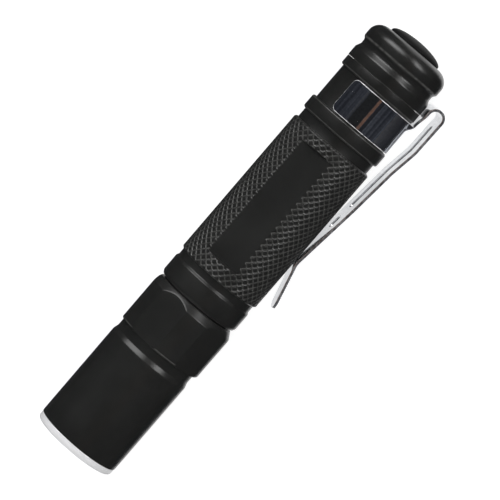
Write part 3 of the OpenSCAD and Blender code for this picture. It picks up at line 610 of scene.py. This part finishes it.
# Each finish: two tones, roughness and its spread, metal, grain per metre and its bump. One
# number for a tone is a grey, and None is a colour that the user sets
PLAIN = {
    "bare_aluminium": (None, (0.80, 0.80, 0.81), 0.42, 0.10, 0.2, 6000, 0.05),
    "reflector_mirror": (0.93, 0.88, 0.04, 0.03, 1.0, 1500, 0.03),
    "seal_rubber": (0.014, 0.022, 0.55, 0.1, 0.0, 9000, 0.1),
    "led_ceramic": ((0.80, 0.78, 0.70), (0.72, 0.70, 0.62), 0.5, 0.1, 0.0, 9000, 0.08),
    "board_white": ((0.82, 0.82, 0.80), (0.74, 0.74, 0.72), 0.4, 0.1, 0.0, 5000, 0.05),
    "brass": ((0.72, 0.50, 0.18), (0.60, 0.40, 0.13), 0.3, 0.12, 1.0, 5000, 0.05),
    "gold_contact": ((0.85, 0.60, 0.20), (0.76, 0.52, 0.16), 0.2, 0.1, 1.0, 5000, 0.04),
    "wire_sleeve": ((0.42, 0.03, 0.03), (0.34, 0.02, 0.02), 0.45, 0.1, 0.0, 7000, 0.06),
    "black_plastic": ((0.020, 0.020, 0.021), (0.030, 0.030, 0.031), 0.45, 0.1, 0.0, 8000, 0.1),
    "white_plastic": ((0.78, 0.78, 0.75), (0.70, 0.70, 0.67), 0.42, 0.1, 0.0, 8000, 0.08),
    "cell_can": (0.60, 0.50, 0.32, 0.12, 1.0, 5000, 0.05),
    "cell_jacket": ((0.08, 0.13, 0.26), (0.06, 0.10, 0.21), 0.28, 0.06, 0.0, 3000, 0.03),
    "spring_steel": ((0.58, 0.58, 0.59), (0.46, 0.46, 0.47), 0.25, 0.1, 1.0, 6000, 0.05),
    "anodised_black": (None, (0.0138, 0.0138, 0.0131), 0.31, 0.06, 0.0, 4500, 0.20),
    "button_rubber": (None, 0.011, 0.6, 0.1, 0.0, 7000, 0.16),
    "clip_steel": (None, (0.52, 0.53, 0.55), 0.03, 0.02, 1.0, 2600, 0.15),
    "lens_glass": ((0.96, 0.98, 0.99), (0.90, 0.95, 0.98), 0.01, 0.02, 0.0, 1500, 0.0),
    "led_phosphor": ((0.92, 0.74, 0.16), (0.80, 0.58, 0.08), 0.14, 0.08, 0.0, 12000, 0.0),
}
# What some finishes have besides: strength of turning marks, patches per metre, shader inputs
MARKS = {
    "bare_aluminium": 0.35, "brass": 0.3, "gold_contact": 0.15, "cell_can": 0.1,
    "anodised_black": 0.05,
}
PATCHES = {"lens_glass": 120.0, "led_phosphor": 900.0}
EXTRA = {
    "anodised_black": {"Specular IOR Level": 0.45}, "button_rubber": {"Specular IOR Level": 0.08},
    "lens_glass": {"Transmission Weight": 1.0, "IOR": 1.5}, "led_phosphor": {"Coat Weight": 0.6},
}
# Bump of a full height, wear and painted glint of the anodised edges, and roughness that hairlines add to steel
BUMP, EDGE_WEAR_AND_GLINT, SCRATCH_ROUGH = 0.02 * MM, 0.8, 0.02
# Sheared edges of the clip, duller and with a pale painted highlight: amount, added roughness, tone and metal
SHEARED, SHEARED_ROUGH, SHEARED_PAINTED_HIGHLIGHT, SHEARED_METAL = 1.7, 0.35, (0.92, 0.92, 0.93), 0.2


def tones(slot):
    """Both tones of a finish as colours, the first from the user's where they hold it."""
    colours = bpy.context.scene.penlight_finish
    own = {
        "anodised_black": colours.anodise, "button_rubber": colours.rubber,
        "clip_steel": colours.steel, "bare_aluminium": colours.bare,
    }
    pair = own.get(slot, PLAIN[slot][0]), PLAIN[slot][1]
    return [(tone,) * 3 if isinstance(tone, float) else tuple(tone) for tone in pair]


def new_material(name):
    """New material, its tree and its Principled shader."""
    made = bpy.data.materials.new(name + "_finish")
    made.use_nodes = True
    return made, made.node_tree, made.node_tree.nodes["Principled BSDF"]


def grained(slot):
    """A finish from the table: tone and roughness shift with the grain, and the bump adds grain
    and turning marks. Anodised edges and knurl grooves take a lighter tone, partly wear and
    partly painted glint; steel has hairlines; and the clip's sheared edges are duller, with
    a pale painted highlight."""
    made, tree, shader = new_material(slot)
    rough, spread, metal, scale, bump = PLAIN[slot][2:]
    grain = effect(tree, "grain", Grain=scale, Patch=PATCHES.get(slot, USUAL_PATCH))
    colour = mixed(tree, grain["Tone"], *tones(slot))
    level = ramp(tree, grain["Tone"], 0.0, 1.0, rough - spread / 2, rough + spread / 2)
    if slot == "anodised_black":
        # Lighter tone on edges and knurl grooves: partly wear, partly painted glint
        worn_glint_mask = effect(tree, "wear", Amount=EDGE_WEAR_AND_GLINT)["Mask"]
        colour = mixed(tree, worn_glint_mask, colour, bpy.context.scene.penlight_finish.anodise_worn_and_glint)
    if slot in ("clip_steel", "spring_steel"):
        level = added(tree, level, effect(tree, "scratch")["Mask"], SCRATCH_ROUGH)
    if slot == "clip_steel":
        # The clip's sheared edges: rougher and less metallic, and paler as a painted highlight
        worn_glint_mask = effect(tree, "wear", Amount=SHEARED)["Mask"]
        level = added(tree, level, worn_glint_mask, SHEARED_ROUGH)
        colour = mixed(tree, worn_glint_mask, colour, SHEARED_PAINTED_HIGHLIGHT)
        metal = ramp(tree, worn_glint_mask, 0, 1, metal, SHEARED_METAL)
    inputs = {"Base Color": colour, "Roughness": level, "Metallic": metal, **EXTRA.get(slot, {})}
    if bump:
        height = maths(tree, "MULTIPLY", grain["Height"], bump)
        if slot in MARKS:
            height = added(tree, height, effect(tree, "marks")["Height"], MARKS[slot])
        inputs["Normal"] = relief(tree, height, 1.0, BUMP)
    feed(tree, shader, inputs)
    return made


def board_green(slot):
    """Circuit board: green mask over copper that shows through as broad lighter lanes."""
    made, tree, shader = new_material(slot)
    tone = effect(tree, "grain", Grain=6000.0, Patch=500.0)["Tone"]
    cells = node(tree, "ShaderNodeTexVoronoi", {"Vector": place_on(tree), "Scale": 900.0},
                 distance="MANHATTAN", feature="DISTANCE_TO_EDGE")
    lanes = ramp(tree, cells.outputs[0], 0.04, 0.08)
    colour = mixed(tree, lanes, (0.010, 0.085, 0.030), (0.020, 0.16, 0.060))
    feed(tree, shader, {
        "Base Color": mixed(tree, maths(tree, "MULTIPLY", tone, 0.3), colour, (0.01, 0.10, 0.04)),
        "Roughness": ramp(tree, lanes, 0, 1, 0.42, 0.30),
        "Normal": relief(tree, lanes, 0.4, 0.03 * MM),
    })
    return made


def coil_copper(slot):
    """Enamelled winding: even turns along the axis, with painted shade between the wires."""
    made, tree, shader = new_material(slot)
    tone = effect(tree, "grain", Grain=5000.0)["Tone"]
    turns = node(tree, "ShaderNodeTexWave", {
        "Vector": place_on(tree), "Scale": 800.0, "Distortion": 0.4
    }, bands_direction="X").outputs["Fac"]
    # Painted shade: the colour darkens in the creases between the wires
    colour = mixed(tree, turns, (0.16, 0.05, 0.02), (0.60, 0.24, 0.10))
    feed(tree, shader, {
        "Base Color": mixed(tree, maths(tree, "MULTIPLY", tone, 0.25), colour, (0.42, 0.15, 0.06)),
        "Roughness": ramp(tree, turns, 0, 1, 0.45, 0.25), "Metallic": 0.8,
        "Normal": relief(tree, turns, 0.6, 0.06 * MM),
    })
    return made


OWN_FINISH = {"board_green": board_green, "coil_copper": coil_copper}


def finish(slot):
    """Material of a slot, made once."""
    if slot not in FINISHED:
        FINISHED[slot] = OWN_FINISH.get(slot, grained)(slot)
    return FINISHED[slot]


def dress(*names):
    """Gives solids that keep their own mesh the finish that the record names for them."""
    slots = {part["node"]: part["material_slot"] for part in frame["record"]["subparts"]}
    for name in names:
        shape = NODES[name]
        if not shape.material_slots:
            shape.data.materials.append(None)
        for place in shape.material_slots:
            place.material = finish(slots[name])


class PENLIGHT_OT_head(bpy.types.Operator):
    """Turns the front ring and the head with its flats"""

    bl_idname = "penlight.head"
    bl_label = "Head"

    def execute(self, context):
        ring = plain_turned("front_ring", BEZEL, RING_COLUMNS)
        stand_for(ring, "bezel_ring", "bare_aluminium", "head")

        # The radius is the outline's, or the flat's where that lies nearer the axis
        r, z, wear = outline_of(HEAD, HEAD_FINE)
        border = FLAT_HALF + FLAT_BORDER
        marks = (FLATS[:, None] + np.concatenate([border, -border])).ravel()
        angle = columns(HEAD_COLUMNS, marks)
        flat = within(z, FLAT_SPAN) & (r > FLAT_ABOVE)
        radius = np.minimum(r, np.where(flat, flat_limit(angle, FLATS, FLAT_R), np.inf))
        head = turned_piece("head_body", swept(radius, z, angle), wear * (radius == r))
        stand_for(head, "head_shell", "anodised_black", "head")
        return {"FINISHED"}


class PENLIGHT_OT_tube(bpy.types.Operator):
    """Turns the cell tube with its diamond knurl, panels and thread"""

    bl_idname = "penlight.tube"
    bl_label = "Tube"

    def execute(self, context):
        sizes = context.scene.penlight_sizes
        starts, pitch = sizes.knurl_starts, sizes.knurl_pitch / MM
        # The columns follow the grooves of one hand along the knurl, so that the edges of both
        # hands fall on rings and columns
        distance = pitch / KNURL_RINGS
        count = 2 * int((KNURL_TO - KNURL_FROM) / distance / 2)
        places = KNURL_FROM + np.arange(1, count + 1) * distance
        steps = np.array(PANEL_SPAN)[:, None] + (-PANEL_STEP, PANEL_STEP)
        places = np.sort(np.concatenate([places, steps.ravel()]))[:, None]
        knurl = np.hstack([0 * places + KNURL_R, places, 0 * places])
        corners = np.vstack([TUBE_FRONT, knurl, TUBE_BACK])
        r, z, wear = outline_of(corners, TUBE_FINE, count=TUBE_CORNER_POINTS)
        gone = np.clip(z, KNURL_FROM, KNURL_FROM + count * distance) - KNURL_FROM
        shift = np.maximum.accumulate(gone) * TURN / (starts * pitch)
        angle = np.linspace(0, TURN, KNURL_COLUMNS * starts, endpoint=False) - shift
        # Two sets of helical grooves cross: each is a triangle wave of the share of a turn
        # times the starts, plus or less the place over the pitch, and the lower one counts
        around, along = starts * angle / TURN, (z - KNURL_FROM) / pitch
        flank = KNURL_STEEP * np.minimum(saw(around + along), saw(around - along))
        groove = np.clip(1 - flank, 0, 1)
        knurled = within(z, KNURL_SPAN) & (r > KNURL_ABOVE)
        cut = KNURL_R - sizes.knurl_depth / MM * groove
        # The panels' ends slope up to the knurl
        inside = np.minimum(z - PANEL_SPAN[0], PANEL_SPAN[1] - z)
        slope = PANEL_RISE * np.clip(1 - inside / PANEL_SLOPE, 0, 1) ** PANEL_CURVE
        panel = flat_limit(angle, PANELS, PANEL_R) + slope
        panel = np.where(within(z, PANEL_SPAN), panel, np.inf)
        radius = np.where(knurled, np.minimum(np.minimum(r, cut), panel), r)
        radius = threaded(radius, r, z, angle, NOSE_THREAD)
        # Painted glint: the grooves get the lighter edge tone, so they show lighter than the diamonds between them
        wear = np.where(knurled, groove * (panel > radius + PANEL_STEP), wear)
        roll = count * KNURL_COLUMNS // KNURL_RINGS
        tube = turned_piece("cell_tube", swept(radius, z, angle), wear, sharp=TUBE_SHARP, roll=roll)
        stand_for(tube, "body_tube", "anodised_black", "tube")
        return {"FINISHED"}


class PENLIGHT_OT_tail(bpy.types.Operator):
    """Turns the tail cap with its thread, and its rubber button with a low elliptic dome"""

    bl_idname = "penlight.tail"
    bl_label = "Tail"

    def execute(self, context):
        r, z, wear = outline_of(TAIL_CAP, TAIL_FINE)
        angle = columns(RING_COLUMNS)
        radius = threaded(r, r, z, angle, SPIGOT_THREAD)
        cap = turned_piece("tail_cap_body", swept(radius, z, angle), wear)
        stand_for(cap, "tail_cap", "anodised_black", "tail")
        dome = plain_turned("rubber_button", BUTTON, BUTTON_COLUMNS, closed=False)
        stand_for(dome, "boot_button", "button_rubber", "button")
        return {"FINISHED"}


class PENLIGHT_OT_optics(bpy.types.Operator):
    """Turns the reflector's bowl, a paraboloid, and finishes the lens and the emitter"""

    bl_idname = "penlight.optics"
    bl_label = "Optics"

    def execute(self, context):
        bowl = plain_turned("reflector_bowl", REFLECTOR, BOWL_COLUMNS)
        stand_for(bowl, "reflector", "reflector_mirror", "head")
        dress("lens", "led_spacer", "led_dome", "led_package", "led_board")
        return {"FINISHED"}


class PENLIGHT_OT_seals(bpy.types.Operator):
    """Rolls the round seals, each a circle carried round the axis"""

    bl_idname = "penlight.seals"
    bl_label = "Seals"

    def execute(self, context):
        angle = columns(SEAL_COLUMNS)
        cord = np.linspace(0, TURN, SEAL_SIDES, endpoint=False)[:, None]
        for name, (ring, place, thick, body) in SEALS.items():
            rings = swept(ring + thick / 2 * np.cos(cord), place + thick / 2 * np.sin(cord), angle)
            seal = turned_piece(name + "_cord", rings, 0.0)
            stand_for(seal, name, "seal_rubber", body)
        return {"FINISHED"}


class PENLIGHT_OT_springs(bpy.types.Operator):
    """Winds the springs, each a round wire carried along a helix that may narrow"""

    bl_idname = "penlight.springs"
    bl_label = "Springs"

    def execute(self, context):
        wire_turn = np.linspace(0, TURN, WIRE_SIDES, endpoint=False)[None, :, None]
        for name, (first, last, low, high, turns, wire) in SPRINGS.items():
            share = np.linspace(0, 1, int(WIRE_STEPS * turns) + 1)[:, None]
            angle, radius = TURN * turns * share, first + (last - first) * share
            line = np.hstack([
                radius * np.cos(angle), radius * np.sin(angle), low + (high - low) * share
            ])
            ahead = np.gradient(line, axis=0)
            ahead /= np.linalg.norm(ahead, axis=1, keepdims=True)
            out = np.hstack([np.cos(angle), np.sin(angle), 0 * angle])
            out -= np.sum(out * ahead, axis=1, keepdims=True) * ahead
            out /= np.linalg.norm(out, axis=1, keepdims=True)
            side = np.cross(ahead, out)
            rings = line[:, None] + wire / 2 * (
                np.cos(wire_turn) * out[:, None] + np.sin(wire_turn) * side[:, None]
            )
            points = to_row(rings.reshape(-1, 3))
            faces = outward(points, grid_faces(len(rings), WIRE_SIDES, False))
            ends = np.arange(len(points)).reshape(-1, WIRE_SIDES)[[0, -1]].tolist()
            coil = put(name + "_coil", points, faces, ends, sharp=WIRE_SHARP)
            mended(coil.data)
            stand_for(coil, name, "spring_steel", "tail")
            if name == "switch_spring":
                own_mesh(coil)
        return {"FINISHED"}


class PENLIGHT_OT_inside(bpy.types.Operator):
    """Finishes the pieces inside: driver, cell and switch"""

    bl_idname = "penlight.inside"
    bl_label = "Inside pieces"

    def execute(self, context):
        dress("led_pill", "led_wires", "driver_board", "driver_coil", "driver_chips")
        dress("contact_button", "battery_can", "battery_jacket", "battery_cap", "battery_washer")
        dress("switch_ring", "tail_board", "switch_housing", "switch_contacts", "switch_plunger")
        return {"FINISHED"}


def band_grid(tongue):
    """Middle of the band's sheet: rows along z and columns round the axis. Near its ends the
    rows draw in along a circle, and under the tongue the sheet lifts off by an eased step."""
    half = math.radians(BAND_HALF)
    edge = math.asin(ARM_HALF / BAND_R)
    quarter = np.linspace(0, math.pi / 2, BAND_CORNER_COLUMNS)
    near = BAND_CORNER * (1 - np.cos(quarter)) / BAND_R
    plain = np.linspace(BAND_CORNER / BAND_R, half - edge, BAND_SIDE_COLUMNS)[1:-1]
    side = np.concatenate([near, plain])
    off = np.concatenate([side - half, np.arcsin(tongue / BAND_R), (half - side)[::-1]])
    missing = np.clip(BAND_CORNER - (half - np.abs(off)) * BAND_R, 0, BAND_CORNER)
    inset = BAND_CORNER - np.sqrt(BAND_CORNER ** 2 - missing ** 2)
    # The first and last rows stay apart at the very ends
    inset = np.minimum(inset, BAND_CORNER - SAME)
    z = BAND_Z + inset + BAND_ROWS * (BAND_END - BAND_Z - 2 * inset)
    aside = np.abs(off) * BAND_R - ARM_HALF
    lift = (LEG_R - BAND_R) * ease((z - LIFT_FROM) / LIFT_LENGTH) * (1 - ease(aside / LIFT_FADE))
    radius = BAND_R + lift
    return np.stack([radius * np.sin(off), radius * np.cos(off), z], axis=-1), len(side)


def slot_half_width(z):
    """Half the width of the slot at a place on the arm: a straight slot with round ends."""
    wide = np.zeros_like(z)
    for low, high in SLOTS:
        from_end = np.minimum(z - low, high - z)
        missing = np.clip(SLOT_HALF - from_end, 0, SLOT_HALF)
        round_end = np.sqrt(SLOT_HALF ** 2 - missing ** 2)
        wide = np.where(from_end > TINY, round_end, wide)
    return wide


def arm_rows():
    """Middle line of the strip from the band to the tip, one row each: distance of the row from
    the axis, place, half width, half width of the slot, and how far the row is still curved
    like the band."""
    leg = np.linspace(BAND_END, BEND_Z, LEG_ROWS + 1)[1:]
    turn = np.linspace(math.pi, 0, BEND_ROWS + 1)[1:]
    path, _ = rounded(ARM, closed=False, count=BEND_POINTS)
    quarter = SLOT_HALF * (1 - np.cos(np.linspace(0, math.pi / 2, SLOT_END_ROWS)))
    ends = np.concatenate([np.r_[low + quarter, high - quarter] for low, high in SLOTS])
    tip = TIP_Z - TIP_R * np.sin(np.linspace(0, TIP_TURN, TIP_ROWS))
    z = np.unique(np.round(np.concatenate([
        np.linspace(TIP_Z, BEND_Z, ARM_ROWS)[:-1], path[:, 1][path[:, 1] > TIP_Z], ends, tip
    ]), 4))[::-1]
    z = z[z < BEND_Z - SAME]
    r = np.interp(z, path[::-1, 1], path[::-1, 0])
    wide = np.interp(z, ARM_WIDTHS[:, 0], ARM_WIDTHS[:, 1])
    wide = np.where(z < TIP_Z, np.sqrt(np.maximum(TIP_R ** 2 - (TIP_Z - z) ** 2, 0)), wide)
    rows_r = np.concatenate([np.full(LEG_ROWS, LEG_R), BEND_R + BEND_TURN * np.cos(turn), r])
    rows_z = np.concatenate([leg, BEND_Z + BEND_TURN * np.sin(turn), z])
    widths = np.concatenate([np.full(LEG_ROWS + BEND_ROWS, ARM_HALF), wide])
    slot = np.concatenate([np.zeros(LEG_ROWS + BEND_ROWS), slot_half_width(z)])
    curved = 1 - ease((leg - BAND_END) / LEG_BOWED)
    curved = np.concatenate([curved, np.zeros(BEND_ROWS + len(z))])
    return rows_r, rows_z, widths, slot, curved


def thickened(sheet, thickness, edge):
    """Gives a sheet its thickness on both sides of its middle and rounds its edges."""
    mended(sheet.data, merge=True)
    wall = sheet.modifiers.new("wall", "SOLIDIFY")
    wall.thickness, wall.offset, wall.use_even_offset = thickness, 0.0, True
    rim = sheet.modifiers.new("rim", "BEVEL")
    rim.width, rim.segments, rim.limit_method = edge, RIM_SEGMENTS, "ANGLE"
    rim.angle_limit = RIM_ANGLE
    bpy.context.view_layer.update()
    view = bpy.context.evaluated_depsgraph_get()
    final = bpy.data.meshes.new_from_object(sheet.evaluated_get(view))
    sheet.modifiers.clear()
    old, sheet.data = sheet.data, final
    bpy.data.meshes.remove(old)
    final.name = sheet.name
    mended(final)
    final.shade_smooth()
    final.set_sharp_from_angle(angle=math.radians(CLIP_SHARP))


class PENLIGHT_OT_clip(bpy.types.Operator):
    """Bends the clip from one sheet: band, tongue, hairpin and slotted arm"""

    bl_idname = "penlight.clip"
    bl_label = "Clip"

    def execute(self, context):
        tongue = ARM_HALF * np.concatenate([ACROSS - 1, 1 - ACROSS[-2::-1]])
        band, side = band_grid(tongue)
        under = slice(side, side + len(tongue))
        r, z, wide, slot, curved = (row[:, None] for row in arm_rows())
        # Each row has two halves, from the outer edges in to the slot
        half = len(ACROSS)
        left = -wide + ACROSS * (wide - slot)
        right = wide - ACROSS[::-1] * (wide - slot)
        across = np.hstack([left, right])
        bowed = np.sqrt(np.maximum(r ** 2 - across ** 2, 0)) * curved + r * (1 - curved)
        strip = np.stack([across, bowed, np.broadcast_to(z, across.shape)], axis=-1)
        index = np.arange(band[..., 0].size).reshape(band.shape[:2])
        own = index.size + np.arange(across.size).reshape(across.shape)
        top = index[-1, under]
        faces = np.vstack([
            quads(index),
            quads(np.vstack([top[:half], own[:, :half]])),
            quads(np.vstack([top[half - 1:], own[:, half:]])),
        ])
        points = to_row(np.vstack([band.reshape(-1, 3), strip.reshape(-1, 3)]))
        # The cut edges are worn and carry a painted highlight, the band's more than the strip's
        rubbed_and_glint = np.zeros(band.shape[:2])
        rubbed_and_glint[[0, -1]] = rubbed_and_glint[:, [0, -1]] = 1
        rubbed_and_glint[-1, under] = 0
        edge = np.zeros(across.shape)
        edge[:, [0, -1]] = STRIP_WEAR_AND_GLINT
        edge[:, half - 1:half + 1] = STRIP_WEAR_AND_GLINT * (slot > 0)
        wear = np.concatenate([rubbed_and_glint.ravel(), edge.ravel()])
        clip = put("pocket_clip", points, faces, wear=wear)
        thickened(clip, CLIP_T * MM, context.scene.penlight_sizes.clip_edge)
        clip.data.materials.append(finish("clip_steel"))
        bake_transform(clip)
        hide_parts("clip_band", "clip_arm")
        return {"FINISHED"}


# The camera looks down from a little behind the light and a little to the clip's far side
CAMERA_TILT = math.radians(14)
CAMERA_BACK = math.radians(4.5)
PICTURE_TURN = math.radians(40.7)
LOOK_AT = (0, 0.95, 39.5)
SENSOR, NEAREST, FURTHEST = 36, 0.01, 20
# Side lamps: shares of their way out to the camera and to the side, distance out and back along
# the light, width and length
LAMP_UP, LAMP_ASIDE, LAMP_OUT, LAMP_BACK, LAMP_SIZE = 0.28, 0.70, 0.8, 0.72, (0.15, 1.0)
# Front lamp: place as the light stands, width and length
FRONT_LAMP, FRONT_SIZE = (85, -20, 8), (0.06, 0.06)
# Floor: half its width, its own white and its paint
FLOOR_HALF, FLOOR_GLOW, FLOOR_PAINT = 3.0, 0.84, (0.42, 0.42, 0.42, 1)
WHITE = (1, 1, 1)

# Ceiling as gloss sees it: both tones of its clouds and their scale
SKY, CLOUDS = ((0.022, 0.024, 0.030), (0.062, 0.067, 0.080)), 6.0
# Beams on the ceiling: first and last slant from the camera, colour. Their edges are soft
BEAMS = (
    (-0.32, -0.27, (0.050, 0.051, 0.054)), (-0.22, 0.28, (0.019, 0.020, 0.021)),
    (0.29, 0.43, (0.150, 0.088, 0.066)), (0.46, 0.66, (0.021, 0.022, 0.026)),
)
BEAM_EDGE, LOWEST_SLANT = 0.03, 0.05
# Soft boxes: slants and leans to the tail between which each comes up, leans between which it
# fades, and its brightness. Both hang above a height off the horizon
BOX_HEIGHT = (0.30, 0.52)
BOXES = (
    ((-0.10, -0.42), (0.17, 0.32), (0.56, 0.76), 6.5),
    ((0.30, 0.62), (0.17, 0.32), (0.84, 0.96), 8.5),
)
# Leans to the front between which gloss comes to see white, and the share by which the even
# level rises to the front
WHITE_AHEAD, FRONT_SHARE = (-0.90, -0.97), 0.45
# Cards on the floor on both sides: near and far edge, ends along the light, height
CARD = (0.009, 3.0, (-0.5, 0.4), 0.0002)


def view_axes():
    """Picture's right and up, the way to the camera, the tail's way across the picture and the
    clip's. Up is the tail's way turned by PICTURE_TURN towards the side away from the clip."""
    raised = math.cos(CAMERA_TILT), -math.sin(CAMERA_TILT)
    back = Vector(to_row((
        math.cos(CAMERA_BACK) * raised[0], math.cos(CAMERA_BACK) * raised[1], math.sin(CAMERA_BACK)
    ))).normalized()
    tail = Vector(to_row((0, 0, 1))).normalized()
    tail = (tail - tail.dot(back) * back).normalized()
    side = tail.cross(back)
    c, s = math.cos(PICTURE_TURN), math.sin(PICTURE_TURN)
    return s * tail + c * side, c * tail - s * side, back, tail, side


def soft_lamp(name, centre, place, along, size, power):
    """Soft lamp beside the centre that faces it, its length as near along as that allows."""
    data = bpy.data.lights.new(name, "AREA")
    data.shape, data.size, data.size_y, data.energy = "RECTANGLE", size[0], size[1], power
    lamp = bpy.data.objects.new(name, data)
    bpy.context.scene.collection.objects.link(lamp)
    back = place.normalized()
    length = (along - along.dot(back) * back).normalized()
    turn = Matrix((length.cross(back), length, back)).transposed().to_4x4()
    lamp.matrix_world = Matrix.Translation(centre + place) @ turn
    lamp.visible_camera = lamp.visible_glossy = False


def level_sheet(name, x, y, z, material):
    """Level rectangle between two places along X and two along Y, at a height."""
    corners = np.array([(x[0], y[0], z), (x[1], y[0], z), (x[1], y[1], z), (x[0], y[1], z)])
    made = put(name, corners, np.array([[0, 1, 2, 3]]))
    made.data.materials.append(material)
    return made


def pale_floor(name):
    """White floor: rays from the camera, off gloss and through glass get most of its white as
    light of its own, and the rest is lit, so that the object's shadow stays."""
    made = bpy.data.materials.new(name)
    made.use_nodes = True
    tree = made.node_tree
    tree.nodes.clear()
    made.cycles.emission_sampling = "NONE"
    path = tree.nodes.new("ShaderNodeLightPath").outputs
    seen = maths(tree, "ADD", path["Is Camera Ray"], path["Is Glossy Ray"])
    seen = maths(tree, "MINIMUM", maths(tree, "ADD", seen, path["Is Transmission Ray"]), 1.0)
    glow = node(tree, "ShaderNodeEmission", {
        "Color": (*WHITE, 1), "Strength": maths(tree, "MULTIPLY", seen, FLOOR_GLOW)
    })
    paint = node(tree, "ShaderNodeBsdfDiffuse", {"Color": FLOOR_PAINT})
    both = node(tree, "ShaderNodeAddShader", {0: glow.outputs[0], 1: paint.outputs[0]})
    node(tree, "ShaderNodeOutputMaterial", {"Surface": both.outputs[0]})
    return made


def black_felt(name):
    """Dull black with lighter patches."""
    made, tree, shader = new_material(name)
    tone = effect(tree, "grain", Grain=400.0, Patch=20.0)["Tone"]
    feed(tree, shader, {
        "Base Color": mixed(tree, tone, (0.006, 0.007, 0.010), (0.014, 0.015, 0.020)),
        "Roughness": 0.9,
    })
    return made


def studio_world(ambient, along, across, above):
    """White backdrop for the camera and through glass. Gloss sees white ahead of the front, a
    dark clouded ceiling with four beams, and two soft boxes that lean to the tail. Everything
    else is lit at an even level that rises a little to the front."""
    world = bpy.data.worlds.new("studio")
    bpy.context.scene.world = world
    world.use_nodes = True
    world.cycles.sampling_method = "NONE"
    tree = world.node_tree
    tree.nodes.clear()
    path = tree.nodes.new("ShaderNodeLightPath").outputs
    way = tree.nodes.new("ShaderNodeTexCoord").outputs["Generated"]

    def share(axis):
        return node(
            tree, "ShaderNodeVectorMath", {0: way, 1: tuple(axis)}, operation="DOT_PRODUCT"
        ).outputs["Value"]

    sky = mixed(tree, ramp(tree, noise(tree, way, CLOUDS, 4.0), 0.35, 0.7), *SKY)
    slant = maths(tree, "DIVIDE", share(across), maths(tree, "MAXIMUM", share(above), LOWEST_SLANT))
    for low, high, colour in BEAMS:
        starts = ramp(tree, slant, low, low + BEAM_EDGE)
        ends = ramp(tree, slant, high, high + BEAM_EDGE, 1.0, 0.0)
        sky = mixed(tree, maths(tree, "MULTIPLY", starts, ends), sky, colour)
    lean = share(along)
    hung = ramp(tree, share((0, 0, 1)), *BOX_HEIGHT)
    for aside, rise, fall, bright in BOXES:
        box = maths(tree, "MULTIPLY", ramp(tree, slant, *aside), ramp(tree, lean, *rise))
        box = maths(tree, "MULTIPLY", box, hung)
        box = maths(tree, "MULTIPLY", box, ramp(tree, lean, *fall, 1.0, 0.0))
        sky = mixed(tree, box, sky, (bright, bright, bright))
    sky = mixed(tree, ramp(tree, lean, *WHITE_AHEAD), sky, WHITE)
    level = added(tree, ambient, lean, -FRONT_SHARE * ambient)
    colour = mixed(tree, path["Is Glossy Ray"], level, sky)
    plain = maths(tree, "MAXIMUM", path["Is Camera Ray"], path["Is Transmission Ray"])
    colour = mixed(tree, plain, colour, WHITE)
    light = node(tree, "ShaderNodeBackground", {"Color": colour, "Strength": 1.0})
    node(tree, "ShaderNodeOutputWorld", {"Surface": light.outputs[0]})


class PENLIGHT_OT_studio(bpy.types.Operator):
    """Sets the floor, the lamps, the cards, the backdrop and the camera"""

    bl_idname = "penlight.studio"
    bl_label = "Studio"

    def execute(self, context):
        studio = context.scene.penlight_studio
        centre = Vector(to_row(LOOK_AT))
        right, up, back, tail, side = view_axes()

        low = CAD_BOX[0].z
        reach = (-FLOOR_HALF, FLOOR_HALF)
        floor = level_sheet("floor", reach, reach, low, pale_floor("floor_white"))

        for name, hand in (("lamp_clip_side", 1), ("lamp_far_side", -1)):
            out = (LAMP_UP * back + hand * LAMP_ASIDE * side).normalized()
            place = LAMP_OUT * out + LAMP_BACK * tail
            soft_lamp(name, centre, place, tail, LAMP_SIZE, studio.side_power)
        above = Vector(to_row(FRONT_LAMP)) - centre
        soft_lamp("lamp_front", centre, above, tail, FRONT_SIZE, studio.front_power)

        # Only gloss sees the cards, so that bright metal keeps its depth
        near, far, ends, lift = CARD
        for name, hand in (("card_clip_side", 1), ("card_far_side", -1)):
            card = level_sheet(name, ends, (hand * near, hand * far), low + lift, black_felt(name))
            card.visible_camera = card.visible_diffuse = card.visible_shadow = False
            card.visible_transmission = False
        studio_world(studio.ambient, tail, side, back)

        data = bpy.data.cameras.new("camera")
        data.lens, data.sensor_width = studio.lens, SENSOR
        data.clip_start, data.clip_end = NEAREST, FURTHEST
        camera = bpy.data.objects.new("camera", data)
        context.scene.collection.objects.link(camera)
        turn = Matrix((right, up, back)).transposed().to_4x4()
        camera.matrix_world = Matrix.Translation(centre + back * studio.distance) @ turn
        context.scene.camera = camera
        context.scene.view_settings.view_transform = "Standard"
        return {"FINISHED"}


class PENLIGHT_PT_panel(bpy.types.Panel):
    """Lists the penlight's sizes, colours and steps"""

    bl_idname = "PENLIGHT_PT_panel"
    bl_label = "Penlight"
    bl_space_type = "VIEW_3D"
    bl_region_type = "UI"
    bl_category = "Penlight"

    def draw(self, context):
        for key in SETTINGS:
            settings = getattr(context.scene, key)
            box = self.layout.box()
            for name in settings.__annotations__:
                box.prop(settings, name)
        for step in STEPS:
            self.layout.operator(step.bl_idname)


STEPS = (
    PENLIGHT_OT_head, PENLIGHT_OT_tube, PENLIGHT_OT_tail, PENLIGHT_OT_optics, PENLIGHT_OT_seals,
    PENLIGHT_OT_springs, PENLIGHT_OT_inside, PENLIGHT_OT_clip, PENLIGHT_OT_studio,
)
SETTINGS = {
    "penlight_sizes": PenlightSizes, "penlight_finish": PenlightFinish,
    "penlight_studio": PenlightStudio,
}


def register():
    for kind in (*SETTINGS.values(), *STEPS, PENLIGHT_PT_panel):
        bpy.utils.register_class(kind)
    for key, kind in SETTINGS.items():
        setattr(bpy.types.Scene, key, PointerProperty(type=kind))


def unregister():
    for key in SETTINGS:
        delattr(bpy.types.Scene, key)
    for kind in (PENLIGHT_PT_panel, *reversed(STEPS), *SETTINGS.values()):
        bpy.utils.unregister_class(kind)


def main():
    register()
    for step in STEPS:
        family, name = step.bl_idname.split(".")
        getattr(getattr(bpy.ops, family), name)()


if __name__ == "__main__":
    main()
